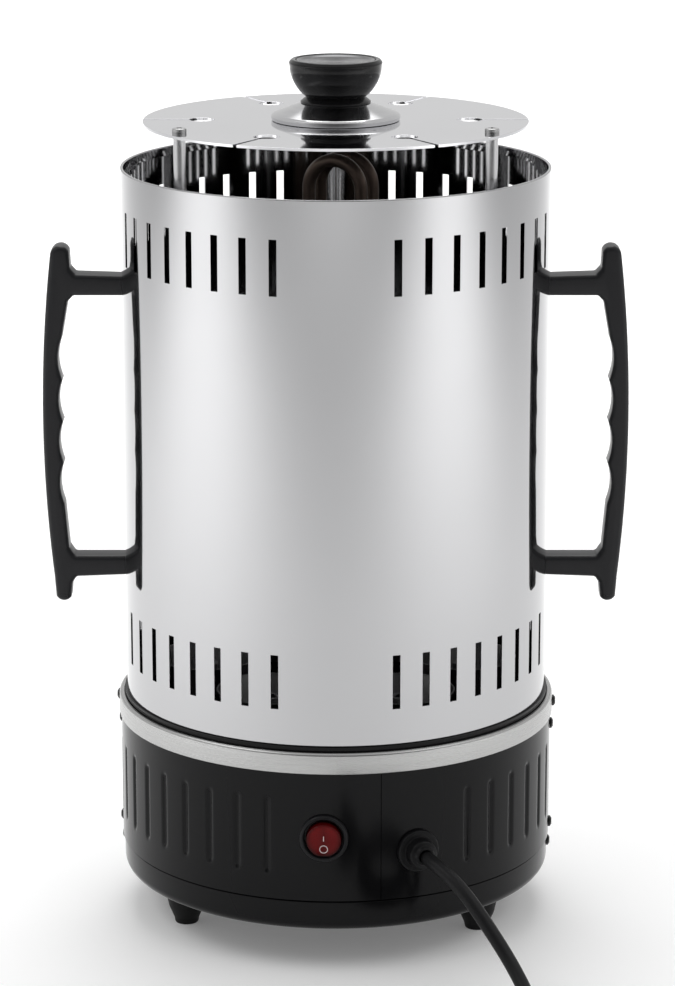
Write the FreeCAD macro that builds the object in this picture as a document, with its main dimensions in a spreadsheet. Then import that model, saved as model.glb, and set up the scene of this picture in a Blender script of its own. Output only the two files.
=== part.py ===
import FreeCAD, Part
import math
import os

import Sketcher
from FreeCAD import Placement, Rotation, Vector

# Upright electric skewer grill. A lift-off polished casing stands on a black base; six skewers turn
# around a heating element in the middle, driven from below by one motor through a sun gear.
# Millimetres, +Z up, origin on the floor under the middle of the casing, front towards -Y,
# handles along X. The base is turned a little about Z inside the casing's frame (base_turn).

# ---------------------------------------------------------------- driving dimensions
SIZES = [
    # name, value, what it measures
    ("casing_radius", 110.0, "outside radius of the polished casing"),
    ("casing_gauge", 0.8, "sheet thickness of the casing"),
    ("casing_bottom", 119.8, "lower edge of the casing above the floor"),
    ("casing_top", 395.2, "rim of the casing above the floor"),
    ("hem_drop", 5.0, "height of the folded hem inside the rim"),
    ("slot_width", 4.0, "width of a casing slot"),
    ("slot_length", 28.0, "height of a casing slot"),
    ("upper_slot_mid", 361.4, "middle of the upper slot row"),
    ("lower_slot_mid", 152.0, "middle of the lower slot row"),
    ("slot_first", 16.0, "angle from the front to the first slot"),
    ("slot_pitch", 8.27, "angle between slots"),
    ("handle_depth", 15.0, "handle size front to back"),
    ("handle_round", 2.5, "rounding of the handle's long edges"),
    ("handle_root", 106.0, "where the arms are cut off, inside the wall"),
    ("arm_high", 333.6, "middle of the upper arm"),
    ("arm_low", 185.0, "middle of the lower arm"),
    ("arm_half", 5.2, "half height of an arm at the casing"),
    ("grip_inner", 141.2, "inner face of the grip at the finger ridges"),
    ("grip_bow", 745.0, "radius of the bowed outer face of the grip"),
    ("finger_pitch", 22.0, "height of one finger valley"),
    ("finger_radius", 30.0, "radius of one finger valley"),
    ("finger_mid", 262.0, "middle of the four finger valleys"),
    ("disc_radius", 98.2, "radius of the top disc"),
    ("disc_top", 418.4, "upper face of the top disc"),
    ("disc_gauge", 1.4, "thickness of the top disc"),
    ("keyhole_radius", 6.5, "round part of a keyhole"),
    ("keyhole_slit", 2.0, "width of the slit from keyhole to edge"),
    ("skewer_circle", 68.0, "radius of the circle of skewers"),
    ("post_circle", 89.6, "radius of the circle of posts"),
    ("post_radius", 3.1, "radius of a post"),
    ("knob_height", 31.0, "top of the knob above the disc"),
    ("knob_radius", 23.9, "widest radius of the knob"),
    ("knob_neck", 14.9, "narrowest radius of the knob"),
    ("knob_foot", 18.0, "radius of the knob's foot flare"),
    ("skirt_radius", 33.0, "radius of the bright skirt under the knob"),
    ("element_radius", 3.4, "radius of the heating tube"),
    ("hairpin_half", 14.5, "half distance between the legs of a hairpin"),
    ("hairpin_offset", 7.15, "half distance between the two hairpins"),
    ("hairpin_top", 398.4, "centre line of the heating tube at the top"),
    ("heater_turn", -24.0, "turn of the hairpins about the vertical"),
    ("heater_shift", 2.5, "sideways offset of the hairpins from the middle"),
    ("deck_top", 115.4, "upper face of the deck floor"),
    ("deck_gauge", 0.9, "sheet thickness of the deck"),
    ("seat_top", 119.5, "top of the black bead that the casing stands on"),
    ("seat_radius", 111.3, "outside radius of that bead"),
    ("lip_height", 5.5, "locating lip inside the casing, above the bead"),
    ("skirt_low", 94.5, "lower edge of the deck's outer skirt"),
    ("band_radius", 113.3, "outside radius of the black band"),
    ("band_gauge", 0.8, "sheet thickness of the band"),
    ("band_low", 38.8, "lower edge of the band"),
    ("band_high", 115.2, "upper edge of the band, hidden by the ring"),
    ("groove_mid", 72.5, "middle of the pressed grooves"),
    ("groove_length", 41.0, "height of the pressed grooves"),
    ("groove_mouth", 4.1, "width of a groove at the surface"),
    ("groove_floor", 1.8, "width of a groove at its bottom"),
    ("groove_depth", 1.0, "depth of a groove"),
    ("groove_first", 36.0, "angle from the front to the first groove on the right"),
    ("groove_pitch", 8.276, "angle between grooves"),
    ("lap_angle", 11.6, "angle from the front to the lap seam"),
    ("ring_radius", 114.3, "outside radius of the bright trim ring"),
    ("ring_low", 106.3, "lower edge of the trim ring"),
    ("ring_high", 117.2, "upper edge of the trim ring"),
    ("ring_inner", 111.6, "inner edge of the trim ring"),
    ("pan_radius", 112.4, "outside radius of the bottom pan"),
    ("pan_low", 22.0, "underside of the bottom pan"),
    ("pan_high", 46.0, "upper edge of the pan wall, inside the band"),
    ("pan_bevel", 4.5, "bevel of the pan's lower edge"),
    ("foot_circle", 88.0, "radius of the circle of feet"),
    ("foot_low_radius", 6.0, "radius of a foot on the floor"),
    ("foot_high_radius", 12.0, "radius of a foot under the pan"),
    ("base_turn", -3.0, "turn of the base about the vertical"),
    ("switch_height", 72.6, "middle of the switch"),
    ("bezel_radius", 12.3, "outside radius of the switch bezel"),
    ("well_radius", 9.8, "radius of the well that the rocker sits in"),
    ("rocker_radius", 9.4, "radius of the rocker"),
    ("rocker_tilt", 7.5, "tilt of the rocker from its middle position"),
    ("outlet_angle", 21.3, "angle from the front to the cord gland"),
    ("outlet_height", 63.6, "middle of the cord gland"),
    ("gland_radius", 10.9, "radius of the gland flange"),
    ("boss_radius", 7.3, "radius of the gland boss"),
    ("cord_diameter", 7.2, "diameter of the mains cord"),
    ("gear_module", 2.0, "gear module"),
    ("sun_teeth", 50.0, "teeth of the sun gear"),
    ("pinion_teeth", 18.0, "teeth of a skewer pinion"),
    ("drive_teeth", 10.0, "teeth of the motor pinion"),
    ("gear_low", 98.0, "underside of the gears"),
    ("gear_face", 8.0, "face width of the gears"),
    ("tooth_root", 2.3, "tooth depth below the pitch circle"),
    ("tooth_tip", 1.6, "tooth height above the pitch circle"),
    ("tooth_root_half", 1.84, "half thickness of a tooth at its root"),
    ("tooth_tip_half", 0.66, "half thickness of a tooth at its tip"),
    ("hub_radius", 28.0, "journal radius of the sun gear"),
    ("hub_bore", 25.0, "bore of the hub, around the heater leads"),
    ("plate_top", 94.4, "upper face of the gear plate"),
    ("plate_gauge", 1.2, "thickness of the gear plate"),
    ("plate_radius", 97.0, "radius of the gear plate"),
    ("running_gap", 0.05, "radial clearance of a running fit"),
    ("spindle_radius", 5.0, "radius of a spindle in its deck bush"),
    ("journal_radius", 3.0, "radius of a spindle in the gear plate"),
    ("hex_flats", 11.0, "width across flats of the hexagon that carries a cup"),
    ("spindle_top", 130.0, "top of a spindle"),
    ("socket_width", 6.4, "square socket for the skewer's point"),
    ("cup_radius", 27.0, "outside radius of a drip cup"),
    ("cup_low", 119.1, "underside of a drip cup"),
    ("cup_height", 15.0, "height of a drip cup"),
    ("cup_gauge", 0.8, "sheet thickness of a drip cup"),
    ("motor_radius", 24.5, "radius of the motor can"),
    ("motor_low", 70.0, "underside of the motor can"),
    ("motor_high", 91.6, "top of the motor can"),
]
HEX_CORNER = 1 / math.sqrt(3)   # corner distance of a hexagon for a width across flats of 1
SKEWERS = 6
GROOVES = 38
POST_ANGLES = {"front_right": -30.0, "rear": 90.0, "front_left": 210.0}


class Size:
    """A length or angle kept twice: as its number and as the formula that gives it."""

    def __init__(self, value, text):
        self.value = value
        self.text = text

    def join(self, other, sign, value):
        return Size(value, f"({self.text} {sign} {size(other).text})")

    def __add__(self, other):
        return self.join(other, "+", self.value + size(other).value)

    def __sub__(self, other):
        return self.join(other, "-", self.value - size(other).value)

    def __mul__(self, other):
        return self.join(other, "*", self.value * size(other).value)

    def __truediv__(self, other):
        return self.join(other, "/", self.value / size(other).value)

    def __radd__(self, other):
        return size(other) + self

    def __rsub__(self, other):
        return size(other) - self

    def __rmul__(self, other):
        return size(other) * self

    def __neg__(self):
        return 0 - self


def size(number):
    """The Size of a plain number; a Size stays as it is."""
    return number if isinstance(number, Size) else Size(float(number), f"{float(number):.6f}")


def turn_x(radius, angle):
    """X of the point at an angle on a circle about the origin."""
    angle = size(angle)
    return size(radius) * Size(math.cos(math.radians(angle.value)), f"cos({angle.text})")


def turn_y(radius, angle):
    """Y of the point at an angle on a circle about the origin."""
    angle = size(angle)
    return size(radius) * Size(math.sin(math.radians(angle.value)), f"sin({angle.text})")


class Sheet:
    """The driving dimensions, read as attributes."""


def make_sheet(doc):
    sheet = doc.addObject("Spreadsheet::Sheet", "Sizes")
    values = Sheet()
    for row, (name, value, meaning) in enumerate(SIZES, start=1):
        sheet.set(f"A{row}", name)
        sheet.set(f"B{row}", str(value))
        sheet.set(f"C{row}", meaning)
        sheet.setAlias(f"B{row}", name)
        setattr(values, name, Size(value, f"Sizes.{name}"))
    doc.recompute()
    return values


doc = FreeCAD.newDocument("skewer_grill")
d = make_sheet(doc)
nodes = []


# ---------------------------------------------------------------- modelling helpers
def keep(thing, label):
    """Make an object a sub-part: its label names its file."""
    thing.Label = label
    nodes.append(thing)
    return thing


def bind(thing, path, value):
    thing.setExpression(path, size(value).text)


def origin(body, role):
    return next(f for f in body.Origin.OriginFeatures if f.Role == role)


def new_body(name):
    return doc.addObject("PartDesign::Body", name)


def new_sketch(body, plane="XZ_Plane", height=0, turn=0):
    """A sketch on an origin plane of the body, raised by height and turned about the vertical."""
    sketch = body.newObject("Sketcher::SketchObject", "Sketch")
    sketch.AttachmentSupport = [(origin(body, plane), "")]
    sketch.MapMode = "FlatFace"
    axis = Vector(0, 1, 0) if plane == "XZ_Plane" else Vector(0, 0, 1)
    sketch.AttachmentOffset = Placement(Vector(), Rotation(axis, size(turn).value))
    if size(height).value:
        bind(sketch, "AttachmentOffset.Base.z", height)
    return sketch


def arc_middle(start, end, radius):
    """The point halfway along an arc that leaves its chord to the left (radius > 0) or right."""
    chord = end - start
    half = chord.Length / 2
    rise = abs(radius) - math.sqrt(radius ** 2 - half ** 2)
    left = Vector(-chord.y, chord.x, 0).normalize()
    return (start + end) / 2 + left * math.copysign(rise, radius)


def outline(sketch, points):
    """A closed outline. A point is (across, up), and a third value is the radius of the arc that
    runs from it to the next point, positive where the arc bulges to the left of the way there."""
    corners = [Vector(size(p[0]).value, size(p[1]).value, 0) for p in points]
    first = sketch.GeometryCount
    ends = []
    for i, point in enumerate(points):
        start, end = corners[i], corners[(i + 1) % len(points)]
        if len(point) == 3:
            radius = size(point[2]).value
            middle = arc_middle(start, end, radius)
            backwards = radius > 0       # sketch arcs always run anticlockwise
            edge = Part.Arc(end, middle, start) if backwards else Part.Arc(start, middle, end)
            sketch.addGeometry(edge, False)
            ends.append((2, 1) if backwards else (1, 2))
        else:
            sketch.addGeometry(Part.LineSegment(start, end), False)
            ends.append((1, 2))
    for i, point in enumerate(points):
        here, after = first + i, first + (i + 1) % len(points)
        sketch.addConstraint(Sketcher.Constraint(
            "Coincident", here, ends[i][1], after, ends[(i + 1) % len(points)][0]))
        for kind, value in (("DistanceX", point[0]), ("DistanceY", point[1])):
            number = sketch.addConstraint(Sketcher.Constraint(
                kind, -1, 1, here, ends[i][0], size(value).value))
            bind(sketch, f"Constraints[{number}]", value)
        if len(point) == 3:
            radius = size(point[2])
            number = sketch.addConstraint(Sketcher.Constraint("Radius", here, abs(radius.value)))
            bind(sketch, f"Constraints[{number}]", radius if radius.value > 0 else -radius)
    return sketch


def circle(sketch, across, up, radius):
    """A circle at a place in the sketch."""
    centre = Vector(size(across).value, size(up).value, 0)
    made = sketch.addGeometry(Part.Circle(centre, Vector(0, 0, 1), size(radius).value), False)
    for kind, value in (("DistanceX", across), ("DistanceY", up)):
        number = sketch.addConstraint(Sketcher.Constraint(kind, -1, 1, made, 3, size(value).value))
        bind(sketch, f"Constraints[{number}]", value)
    number = sketch.addConstraint(Sketcher.Constraint("Radius", made, size(radius).value))
    bind(sketch, f"Constraints[{number}]", radius)
    return sketch


def box_outline(sketch, left, right, low, high):
    return outline(sketch, [(left, low), (right, low), (right, high), (left, high)])


def revolve(body, points, angle=360):
    """A solid of revolution about the vertical, from points (radius, height)."""
    sketch = outline(new_sketch(body), points)
    feature = body.newObject("PartDesign::Revolution", "Revolution")
    feature.Profile = sketch
    feature.ReferenceAxis = (sketch, ["V_Axis"])
    feature.Angle = angle
    return feature


def pad(body, sketch, length, midplane=False, down=False):
    feature = body.newObject("PartDesign::Pad", "Pad")
    feature.Profile = sketch
    bind(feature, "Length", length)
    feature.Midplane = midplane
    feature.Reversed = down
    return feature


def pocket(body, sketch, length, midplane=False, up=False):
    """A pocket, which must take material away."""
    doc.recompute()
    before = body.Shape.Volume
    feature = body.newObject("PartDesign::Pocket", "Pocket")
    feature.Profile = sketch
    bind(feature, "Length", length)
    feature.Midplane = midplane
    feature.Reversed = up
    doc.recompute()
    if not body.Shape.Volume < before - 0.01:
        raise RuntimeError(f"a pocket in {body.Name} cuts nothing")
    return feature


def polar(body, feature, count, angle=360):
    """Repeat a feature about the vertical axis."""
    doc.recompute()
    before = body.Shape.Volume
    pattern = body.newObject("PartDesign::PolarPattern", "PolarPattern")
    pattern.Originals = [feature]
    pattern.Axis = (origin(body, "Z_Axis"), [""])
    if isinstance(angle, Size):
        bind(pattern, "Angle", angle)
    else:
        pattern.Angle = angle
    pattern.Occurrences = count
    body.Tip = pattern
    doc.recompute()
    if math.isclose(body.Shape.Volume, before, rel_tol=1e-7):
        raise RuntimeError(f"a pattern in {body.Name} changes nothing")
    return pattern


def place(thing, across=0, away=0, up=0, turn=0):
    """Put a thing at a place, turned about the vertical."""
    thing.Placement = Placement(Vector(), Rotation(Vector(0, 0, 1), size(turn).value))
    for axis, value in (("x", across), ("y", away), ("z", up)):
        bind(thing, f"Placement.Base.{axis}", value)
    return thing


def face_out(thing, angle, radius, height):
    """Put a thing on the side wall: its +Z points outwards, its +Y up. Angle 0 is the front."""
    angle = size(angle)
    thing.Placement = Placement(Vector(), Rotation(Vector(0, 0, 1), angle.value)
                                * Rotation(Vector(1, 0, 0), 90))
    bind(thing, "Placement.Base.x", turn_y(radius, angle))
    bind(thing, "Placement.Base.y", -turn_x(radius, angle))
    bind(thing, "Placement.Base.z", height)
    return thing


def cut(name, base, *tools):
    """Base less its tools, each a Part boolean."""
    for tool in tools:
        result = doc.addObject("Part::Cut", name)
        result.Base = base
        result.Tool = tool
        base = result
    return base


def group(label, things):
    """Separate solids that share one node."""
    compound = doc.addObject("Part::Compound", label)
    compound.Links = things
    return keep(compound, label)


def cylinder(name, radius, height):
    thing = doc.addObject("Part::Cylinder", name)
    bind(thing, "Radius", radius)
    bind(thing, "Height", height)
    return thing


def pan_head(name, head_radius, head_height, shank_radius, shank_length):
    """A screw standing head up with its bearing face at height 0."""
    body = new_body(name)
    revolve(body, [
        (0, -size(shank_length)), (shank_radius, -size(shank_length)), (shank_radius, 0),
        (head_radius, 0), (head_radius, size(head_height) * 0.5),
        (size(head_radius) * 0.6, head_height), (0, head_height)])
    return body


# ---------------------------------------------------------------- lift-off casing
def make_casing():
    body = new_body("CasingShell")
    inner = d.casing_radius - d.casing_gauge
    hem = inner - d.casing_gauge
    revolve(body, [
        (inner, d.casing_bottom), (d.casing_radius, d.casing_bottom), (d.casing_radius, d.casing_top),
        (hem, d.casing_top), (hem, d.casing_top - d.hem_drop), (inner, d.casing_top - d.hem_drop)])
    half = d.slot_length / 2
    for quadrant in range(4):
        sketch = new_sketch(body, turn=d.slot_first + 90 * quadrant)
        for middle in (d.upper_slot_mid, d.lower_slot_mid):
            box_outline(sketch, -d.slot_width / 2, d.slot_width / 2, middle - half, middle + half)
        first = pocket(body, sketch, d.casing_radius + 5)
        polar(body, first, 8, d.slot_pitch * 7)
    holes = new_sketch(body, "YZ_Plane")
    for arm in (d.arm_high, d.arm_low):
        circle(holes, 0, arm, 2.1)
    pocket(body, holes, d.casing_radius * 3, midplane=True)
    return keep(body, "casing_shell")


def handle_outline(sketch):
    """Side view of the right handle: two arms, a bowed grip with four finger valleys."""
    high, low, half = d.arm_high, d.arm_low, d.arm_half
    root, ridge = d.handle_root, d.grip_inner
    ridges = [(ridge, d.finger_mid + d.finger_pitch * (2 - i)) for i in range(5)]
    outline(sketch, [
        (root, low - half), (ridge - 6.0, low - half - 1.5), (ridge - 3.2, low - half - 5.5),
        (ridge - 2.6, low - 17.2, -4.6), (ridge + 5.3, low - 16.8), (ridge + 6.1, low - 5.7, -d.grip_bow),
        (ridge + 5.1, high + 16.8, -5.0), (ridge - 4.4, high + 17.6), (ridge - 4.9, high + half + 4.5),
        (ridge - 8.0, high + half + 1), (root, high + half), (root, high - half),
        (ridge - 7.5, high - half), (ridge - 3.6, high - half - 4)]
        + [(across, up, d.finger_radius) for across, up in ridges[:-1]] + [
        ridges[-1], (ridge - 2.0, low + half + 5), (ridge - 5.4, low + half), (root, low + half)])


def make_handle(label, turn):
    body = new_body(label.title().replace("_", ""))
    sketch = new_sketch(body)
    handle_outline(sketch)
    solid = pad(body, sketch, d.handle_depth, midplane=True)
    holes = new_sketch(body, "YZ_Plane", height=d.casing_radius - 3)
    for arm in (d.arm_high, d.arm_low):
        circle(holes, 0, arm, 2.05)
    doc.recompute()
    side = d.handle_depth.value / 2 - 0.01
    edges = [f"Edge{i}" for i, edge in enumerate(solid.Shape.Edges, start=1)
             if abs(edge.CenterOfMass.y) > side and edge.BoundBox.XMin > d.grip_inner.value + 2.8]
    rounded = body.newObject("PartDesign::Fillet", "Fillet")
    rounded.Base = (solid, edges)
    bind(rounded, "Radius", d.handle_round)
    doc.recompute()
    pocket(body, holes, 19, up=True)
    wall = cylinder(label + "_seat", d.casing_radius + 0.02, d.casing_top)
    seated = cut(label + "_seated", body, wall)
    turned = doc.addObject("Part::Compound", label)
    turned.Links = [seated]
    place(turned, turn=turn)
    return keep(turned, label)


def make_handle_screws():
    screws = []
    for side in (0, 180):
        for arm in (d.arm_high, d.arm_low):
            screw = pan_head("HandleScrew", 3.6, 2.2, 2.0, 14)
            screw.Placement = Placement(Vector(), Rotation(Vector(0, 0, 1), side)
                                        * Rotation(Vector(0, 1, 0), -90))
            reach = d.casing_radius - d.casing_gauge - 0.08
            bind(screw, "Placement.Base.x", reach if side == 0 else -reach)
            bind(screw, "Placement.Base.z", arm)
            screws.append(screw)
    group("handle_screws", screws)


# ---------------------------------------------------------------- top disc, knob and posts
def make_disc():
    body = new_body("TopDisc")
    low = d.disc_top - d.disc_gauge
    plate = circle(new_sketch(body, "XY_Plane", height=low), 0, 0, d.disc_radius)
    pad(body, plate, d.disc_gauge)
    holes = circle(new_sketch(body, "XY_Plane", height=low), d.skewer_circle, 0, d.keyhole_radius)
    polar(body, pocket(body, holes, d.disc_gauge, up=True), SKEWERS)
    half = d.keyhole_slit / 2
    slit = new_sketch(body, "XY_Plane", height=low)
    box_outline(slit, d.skewer_circle + d.keyhole_radius - 1, d.disc_radius + 2, -half, half)
    polar(body, pocket(body, slit, d.disc_gauge, up=True), SKEWERS)
    fixing = circle(new_sketch(body, "XY_Plane", height=low), 0, 0, 2.2)
    for angle in POST_ANGLES.values():
        circle(fixing, turn_x(d.post_circle, angle), turn_y(d.post_circle, angle), 1.7)
    pocket(body, fixing, d.disc_gauge, up=True)
    return keep(body, "top_disc")


def make_knob():
    top = d.disc_top
    skirt = new_body("KnobSkirt")
    rim, foot = d.skirt_radius, d.knob_foot
    revolve(skirt, [
        (rim - 0.8, top + 0.05), (rim, top + 0.05), (rim, top + 2.6), (foot, top + 8.7),
        (9.1, top + 8.7), (9.1, top + 7.9), (foot - 0.4, top + 7.9), (rim - 0.8, top + 2.2)])
    keep(skirt, "knob_skirt")
    body = new_body("KnobBody")
    crown = top + d.knob_height
    revolve(body, [
        (2.0, top + 0.05), (9.0, top + 0.05), (9.0, top + 8.75), (foot, top + 8.75),
        (d.knob_neck, top + 11.8), (d.knob_neck + 4.6, top + 17.4), (d.knob_radius - 1.2, top + 23.5),
        (d.knob_radius, crown - 2.4), (d.knob_radius - 1.8, crown), (19.9, crown),
        (19.9, crown - 2.2), (2.0, crown - 2.2)])
    keep(body, "knob_body")
    inlay = new_body("KnobInlay")
    revolve(inlay, [
        (0, crown - 2.15), (19.8, crown - 2.15), (19.8, crown - 0.3), (16.0, crown - 0.8),
        (0, crown - 1.5)])
    keep(inlay, "knob_inlay")
    screw = pan_head("KnobScrew", 4.0, 2.4, 1.95, 20)
    screw.Placement = Placement(Vector(), Rotation(Vector(1, 0, 0), 180))
    bind(screw, "Placement.Base.z", top - d.disc_gauge - 0.02)
    keep(screw, "knob_screw")


def make_posts():
    low, high = d.deck_top + 0.02, d.disc_top - d.disc_gauge - 0.02
    top_screws, bottom_screws, spacers = [], [], []
    for name, angle in POST_ANGLES.items():
        across, away = turn_x(d.post_circle, angle), turn_y(d.post_circle, angle)
        post = new_body("Post")
        revolve(post, [
            (1.65, low), (d.post_radius, low), (d.post_radius, high), (1.65, high),
            (1.65, high - 13), (0, high - 13), (0, low + 12), (1.65, low + 12)])
        place(post, across, away)
        keep(post, f"post_{name}")
        top_screws.append(place(pan_head("PostScrew", 3.65, 2.4, 1.6, 12),
                                across, away, d.disc_top + 0.02))
        screw = pan_head("PlateScrew", 3.65, 2.4, 1.6, 33)
        screw.Placement = Placement(Vector(), Rotation(Vector(1, 0, 0), 180))
        bind(screw, "Placement.Base.x", across)
        bind(screw, "Placement.Base.y", away)
        bind(screw, "Placement.Base.z", d.plate_top - d.plate_gauge - 0.02)
        bottom_screws.append(screw)
        spacer = new_body("Spacer")
        roof = d.deck_top - d.deck_gauge - 0.02
        revolve(spacer, [(1.7, d.plate_top + 0.02), (4.5, d.plate_top + 0.02), (4.5, roof), (1.7, roof)])
        spacers.append(place(spacer, across, away))
    group("post_top_screws", top_screws)
    group("plate_screws", bottom_screws)
    group("plate_spacers", spacers)


# ---------------------------------------------------------------- heating element
def leg_places():
    """The four legs of the two hairpins, as (across, away)."""
    places = []
    for side in (1, -1):
        for leg in (1, -1):
            along, off = d.hairpin_half * leg, d.hairpin_offset * side
            across = turn_x(along, d.heater_turn) - turn_y(off, d.heater_turn) + d.heater_shift
            places.append((across, turn_y(along, d.heater_turn) + turn_x(off, d.heater_turn)))
    return places


def make_heater():
    centre = d.hairpin_top - d.hairpin_half
    for name, side in (("rear", 1), ("front", -1)):
        body = new_body("Hairpin")
        legs = new_sketch(body, "XY_Plane", height=centre)
        for leg in (1, -1):
            circle(legs, d.hairpin_half * leg, 0, d.element_radius)
        pad(body, legs, centre - d.gear_low, down=True)
        bend = circle(new_sketch(body, "XY_Plane", height=centre), d.hairpin_half, 0, d.element_radius)
        arch = body.newObject("PartDesign::Revolution", "Arch")
        arch.Profile = bend
        arch.ReferenceAxis = (bend, ["V_Axis"])
        arch.Angle = 180
        arch.Reversed = True
        doc.recompute()
        off = d.hairpin_offset * side
        place(body, d.heater_shift - turn_y(off, d.heater_turn), turn_x(off, d.heater_turn),
              turn=d.heater_turn)
        keep(body, f"heating_element_{name}")
    holder = new_body("HeaterHolder")
    revolve(holder, [(0, d.deck_top + 0.02), (31, d.deck_top + 0.02), (31, d.deck_top + 1.2),
                     (30, d.deck_top + 2.2), (0, d.deck_top + 2.2)])
    holes = new_sketch(holder, "XY_Plane", height=d.deck_top - 1)
    for across, away in leg_places():
        circle(holes, across, away, 5.45)
    for side in (1, -1):
        circle(holes, turn_x(27.0 * side, d.heater_turn + 90), turn_y(27.0 * side, d.heater_turn + 90),
               1.7)
    pocket(holder, holes, 6, up=True)
    keep(holder, "heater_holder")
    beads, tags, screws = [], [], []
    for across, away in leg_places():
        bead = new_body("Bead")
        low, high, bore = d.deck_top - 5, d.deck_top + 7, d.element_radius + 0.02
        revolve(bead, [(bore, low), (5.3, low), (5.3, high), (bore, high)])
        beads.append(place(bead, across, away))
        tag = doc.addObject("Part::Box", "Tag")
        bind(tag, "Length", 4.8)
        bind(tag, "Width", 0.8)
        bind(tag, "Height", 14)
        place(tag, across - 2.4, away - 0.4, d.gear_low - 14.02)
        tags.append(tag)
    for side in (1, -1):
        screw = pan_head("HolderScrew", 3.0, 2.0, 1.6, 3.2)
        screws.append(place(screw, turn_x(27.0 * side, d.heater_turn + 90),
                            turn_y(27.0 * side, d.heater_turn + 90), d.deck_top + 2.22))
    group("heater_insulators", beads)
    group("heater_terminals", tags)
    group("holder_screws", screws)


# ---------------------------------------------------------------- deck, ring, band and pan
def make_deck():
    body = new_body("DeckPlate")
    gauge = d.deck_gauge
    outer = d.pan_radius
    lip = d.casing_radius - d.casing_gauge - 0.4
    shoulder = d.ring_high - 0.85
    floor = d.deck_top - gauge
    revolve(body, [
        (outer, d.skirt_low), (outer, shoulder), (d.seat_radius, shoulder), (d.seat_radius, d.seat_top),
        (lip, d.seat_top), (lip, d.seat_top + d.lip_height), (lip - gauge, d.seat_top + d.lip_height),
        (lip - gauge, d.deck_top), (24.0, d.deck_top), (24.0, floor), (outer - gauge, floor),
        (outer - gauge, d.skirt_low)])
    bushes = circle(new_sketch(body, "XY_Plane", height=floor - 1), d.skewer_circle, 0, 7.55)
    polar(body, pocket(body, bushes, gauge + 2, up=True), SKEWERS)
    fixing = new_sketch(body, "XY_Plane", height=floor - 1)
    for angle in POST_ANGLES.values():
        circle(fixing, turn_x(d.post_circle, angle), turn_y(d.post_circle, angle), 1.7)
    for side in (1, -1):
        circle(fixing, turn_x(27.0 * side, d.heater_turn + 90), turn_y(27.0 * side, d.heater_turn + 90),
               1.7)
    pocket(body, fixing, gauge + 2, up=True)
    return keep(body, "deck_plate")


def make_ring():
    body = new_body("TrimRing")
    inner, gauge = d.band_radius + 0.1, 0.8
    revolve(body, [
        (inner, d.ring_low), (d.ring_radius, d.ring_low), (d.ring_radius, d.ring_high - 1.4),
        (d.ring_radius - 1.4, d.ring_high), (d.ring_inner, d.ring_high),
        (d.ring_inner, d.ring_high - gauge), (inner, d.ring_high - gauge)])
    return keep(body, "trim_ring")


def press_tool(extra):
    """A blunt wedge that presses one groove, its narrow face inwards; extra widens it."""
    tool = doc.addObject("Part::Wedge", "PressTool")
    slope = (d.groove_mouth - d.groove_floor) / 2
    narrow, length = d.groove_floor / 2 + extra, d.groove_length / 2 + extra
    for corner, value in (
            ("Ymin", 0), ("Ymax", d.groove_depth * 2),
            ("Xmin", -narrow), ("Xmax", narrow),
            ("X2min", -narrow - slope * 2), ("X2max", narrow + slope * 2),
            ("Zmin", d.groove_mid - length + slope), ("Zmax", d.groove_mid + length - slope),
            ("Z2min", d.groove_mid - length - slope), ("Z2max", d.groove_mid + length + slope)):
        bind(tool, corner, value)
    return tool


def pressed_drum(name, radius, extra):
    """A solid drum less the press tools of all the grooves."""
    drum = cylinder(name, radius, d.band_high - d.band_low)
    place(drum, up=d.band_low)
    reach = radius - d.groove_depth
    tools = []
    for i in range(GROOVES):
        angle = d.groove_first - 90 + d.groove_pitch * i
        tools.append(place(press_tool(extra), turn_x(reach, angle), turn_y(reach, angle),
                           turn=angle - 90))
    bundle = doc.addObject("Part::Compound", name + "Tools")
    bundle.Links = tools
    return cut(name + "Pressed", drum, bundle)


def make_band():
    outside = pressed_drum("BandOutside", d.band_radius, 0)
    inside = pressed_drum("BandInside", d.band_radius - d.band_gauge, d.band_gauge / 2)
    switch_hole = face_out(cylinder("SwitchHole", 10.9, 20), d.base_turn, d.band_radius - 10,
                           d.switch_height)
    cord_hole = face_out(cylinder("CordHole", 8.05, 20), d.outlet_angle, d.band_radius - 10,
                         d.outlet_height)
    lap = doc.addObject("Part::Box", "LapSeam")
    for side, value in (("Length", 0.4), ("Width", 0.5), ("Height", d.band_high - d.band_low)):
        bind(lap, side, value)
    angle = d.lap_angle - 90
    edge = d.band_radius - 0.3
    place(lap, turn_x(edge, angle), turn_y(edge, angle), d.band_low, turn=angle)
    return keep(cut("Band", outside, inside, switch_hole, cord_hole, lap), "base_band")


def make_pan():
    body = new_body("BottomPan")
    gauge, outer, low = d.band_gauge, d.pan_radius, d.pan_low
    bevel = d.pan_bevel
    revolve(body, [
        (0, low), (outer - bevel, low), (outer, low + bevel), (outer, d.pan_high),
        (outer - gauge, d.pan_high), (outer - gauge, low + bevel + gauge / 2),
        (outer - bevel - gauge / 2, low + gauge), (0, low + gauge)])
    vents = new_sketch(body, "XY_Plane", height=low - 1)
    box_outline(vents, 30, 52, -1.75, 1.75)
    polar(body, pocket(body, vents, gauge + 2, up=True), 12)
    fixing = new_sketch(body, "XY_Plane", height=low - 1)
    for angle in foot_angles():
        circle(fixing, turn_x(d.foot_circle, angle), turn_y(d.foot_circle, angle), 1.75)
    pocket(body, fixing, gauge + 2, up=True)
    return keep(body, "bottom_pan")


def foot_angles():
    return [d.base_turn + angle for angle in (-30, 90, 210)]


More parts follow.
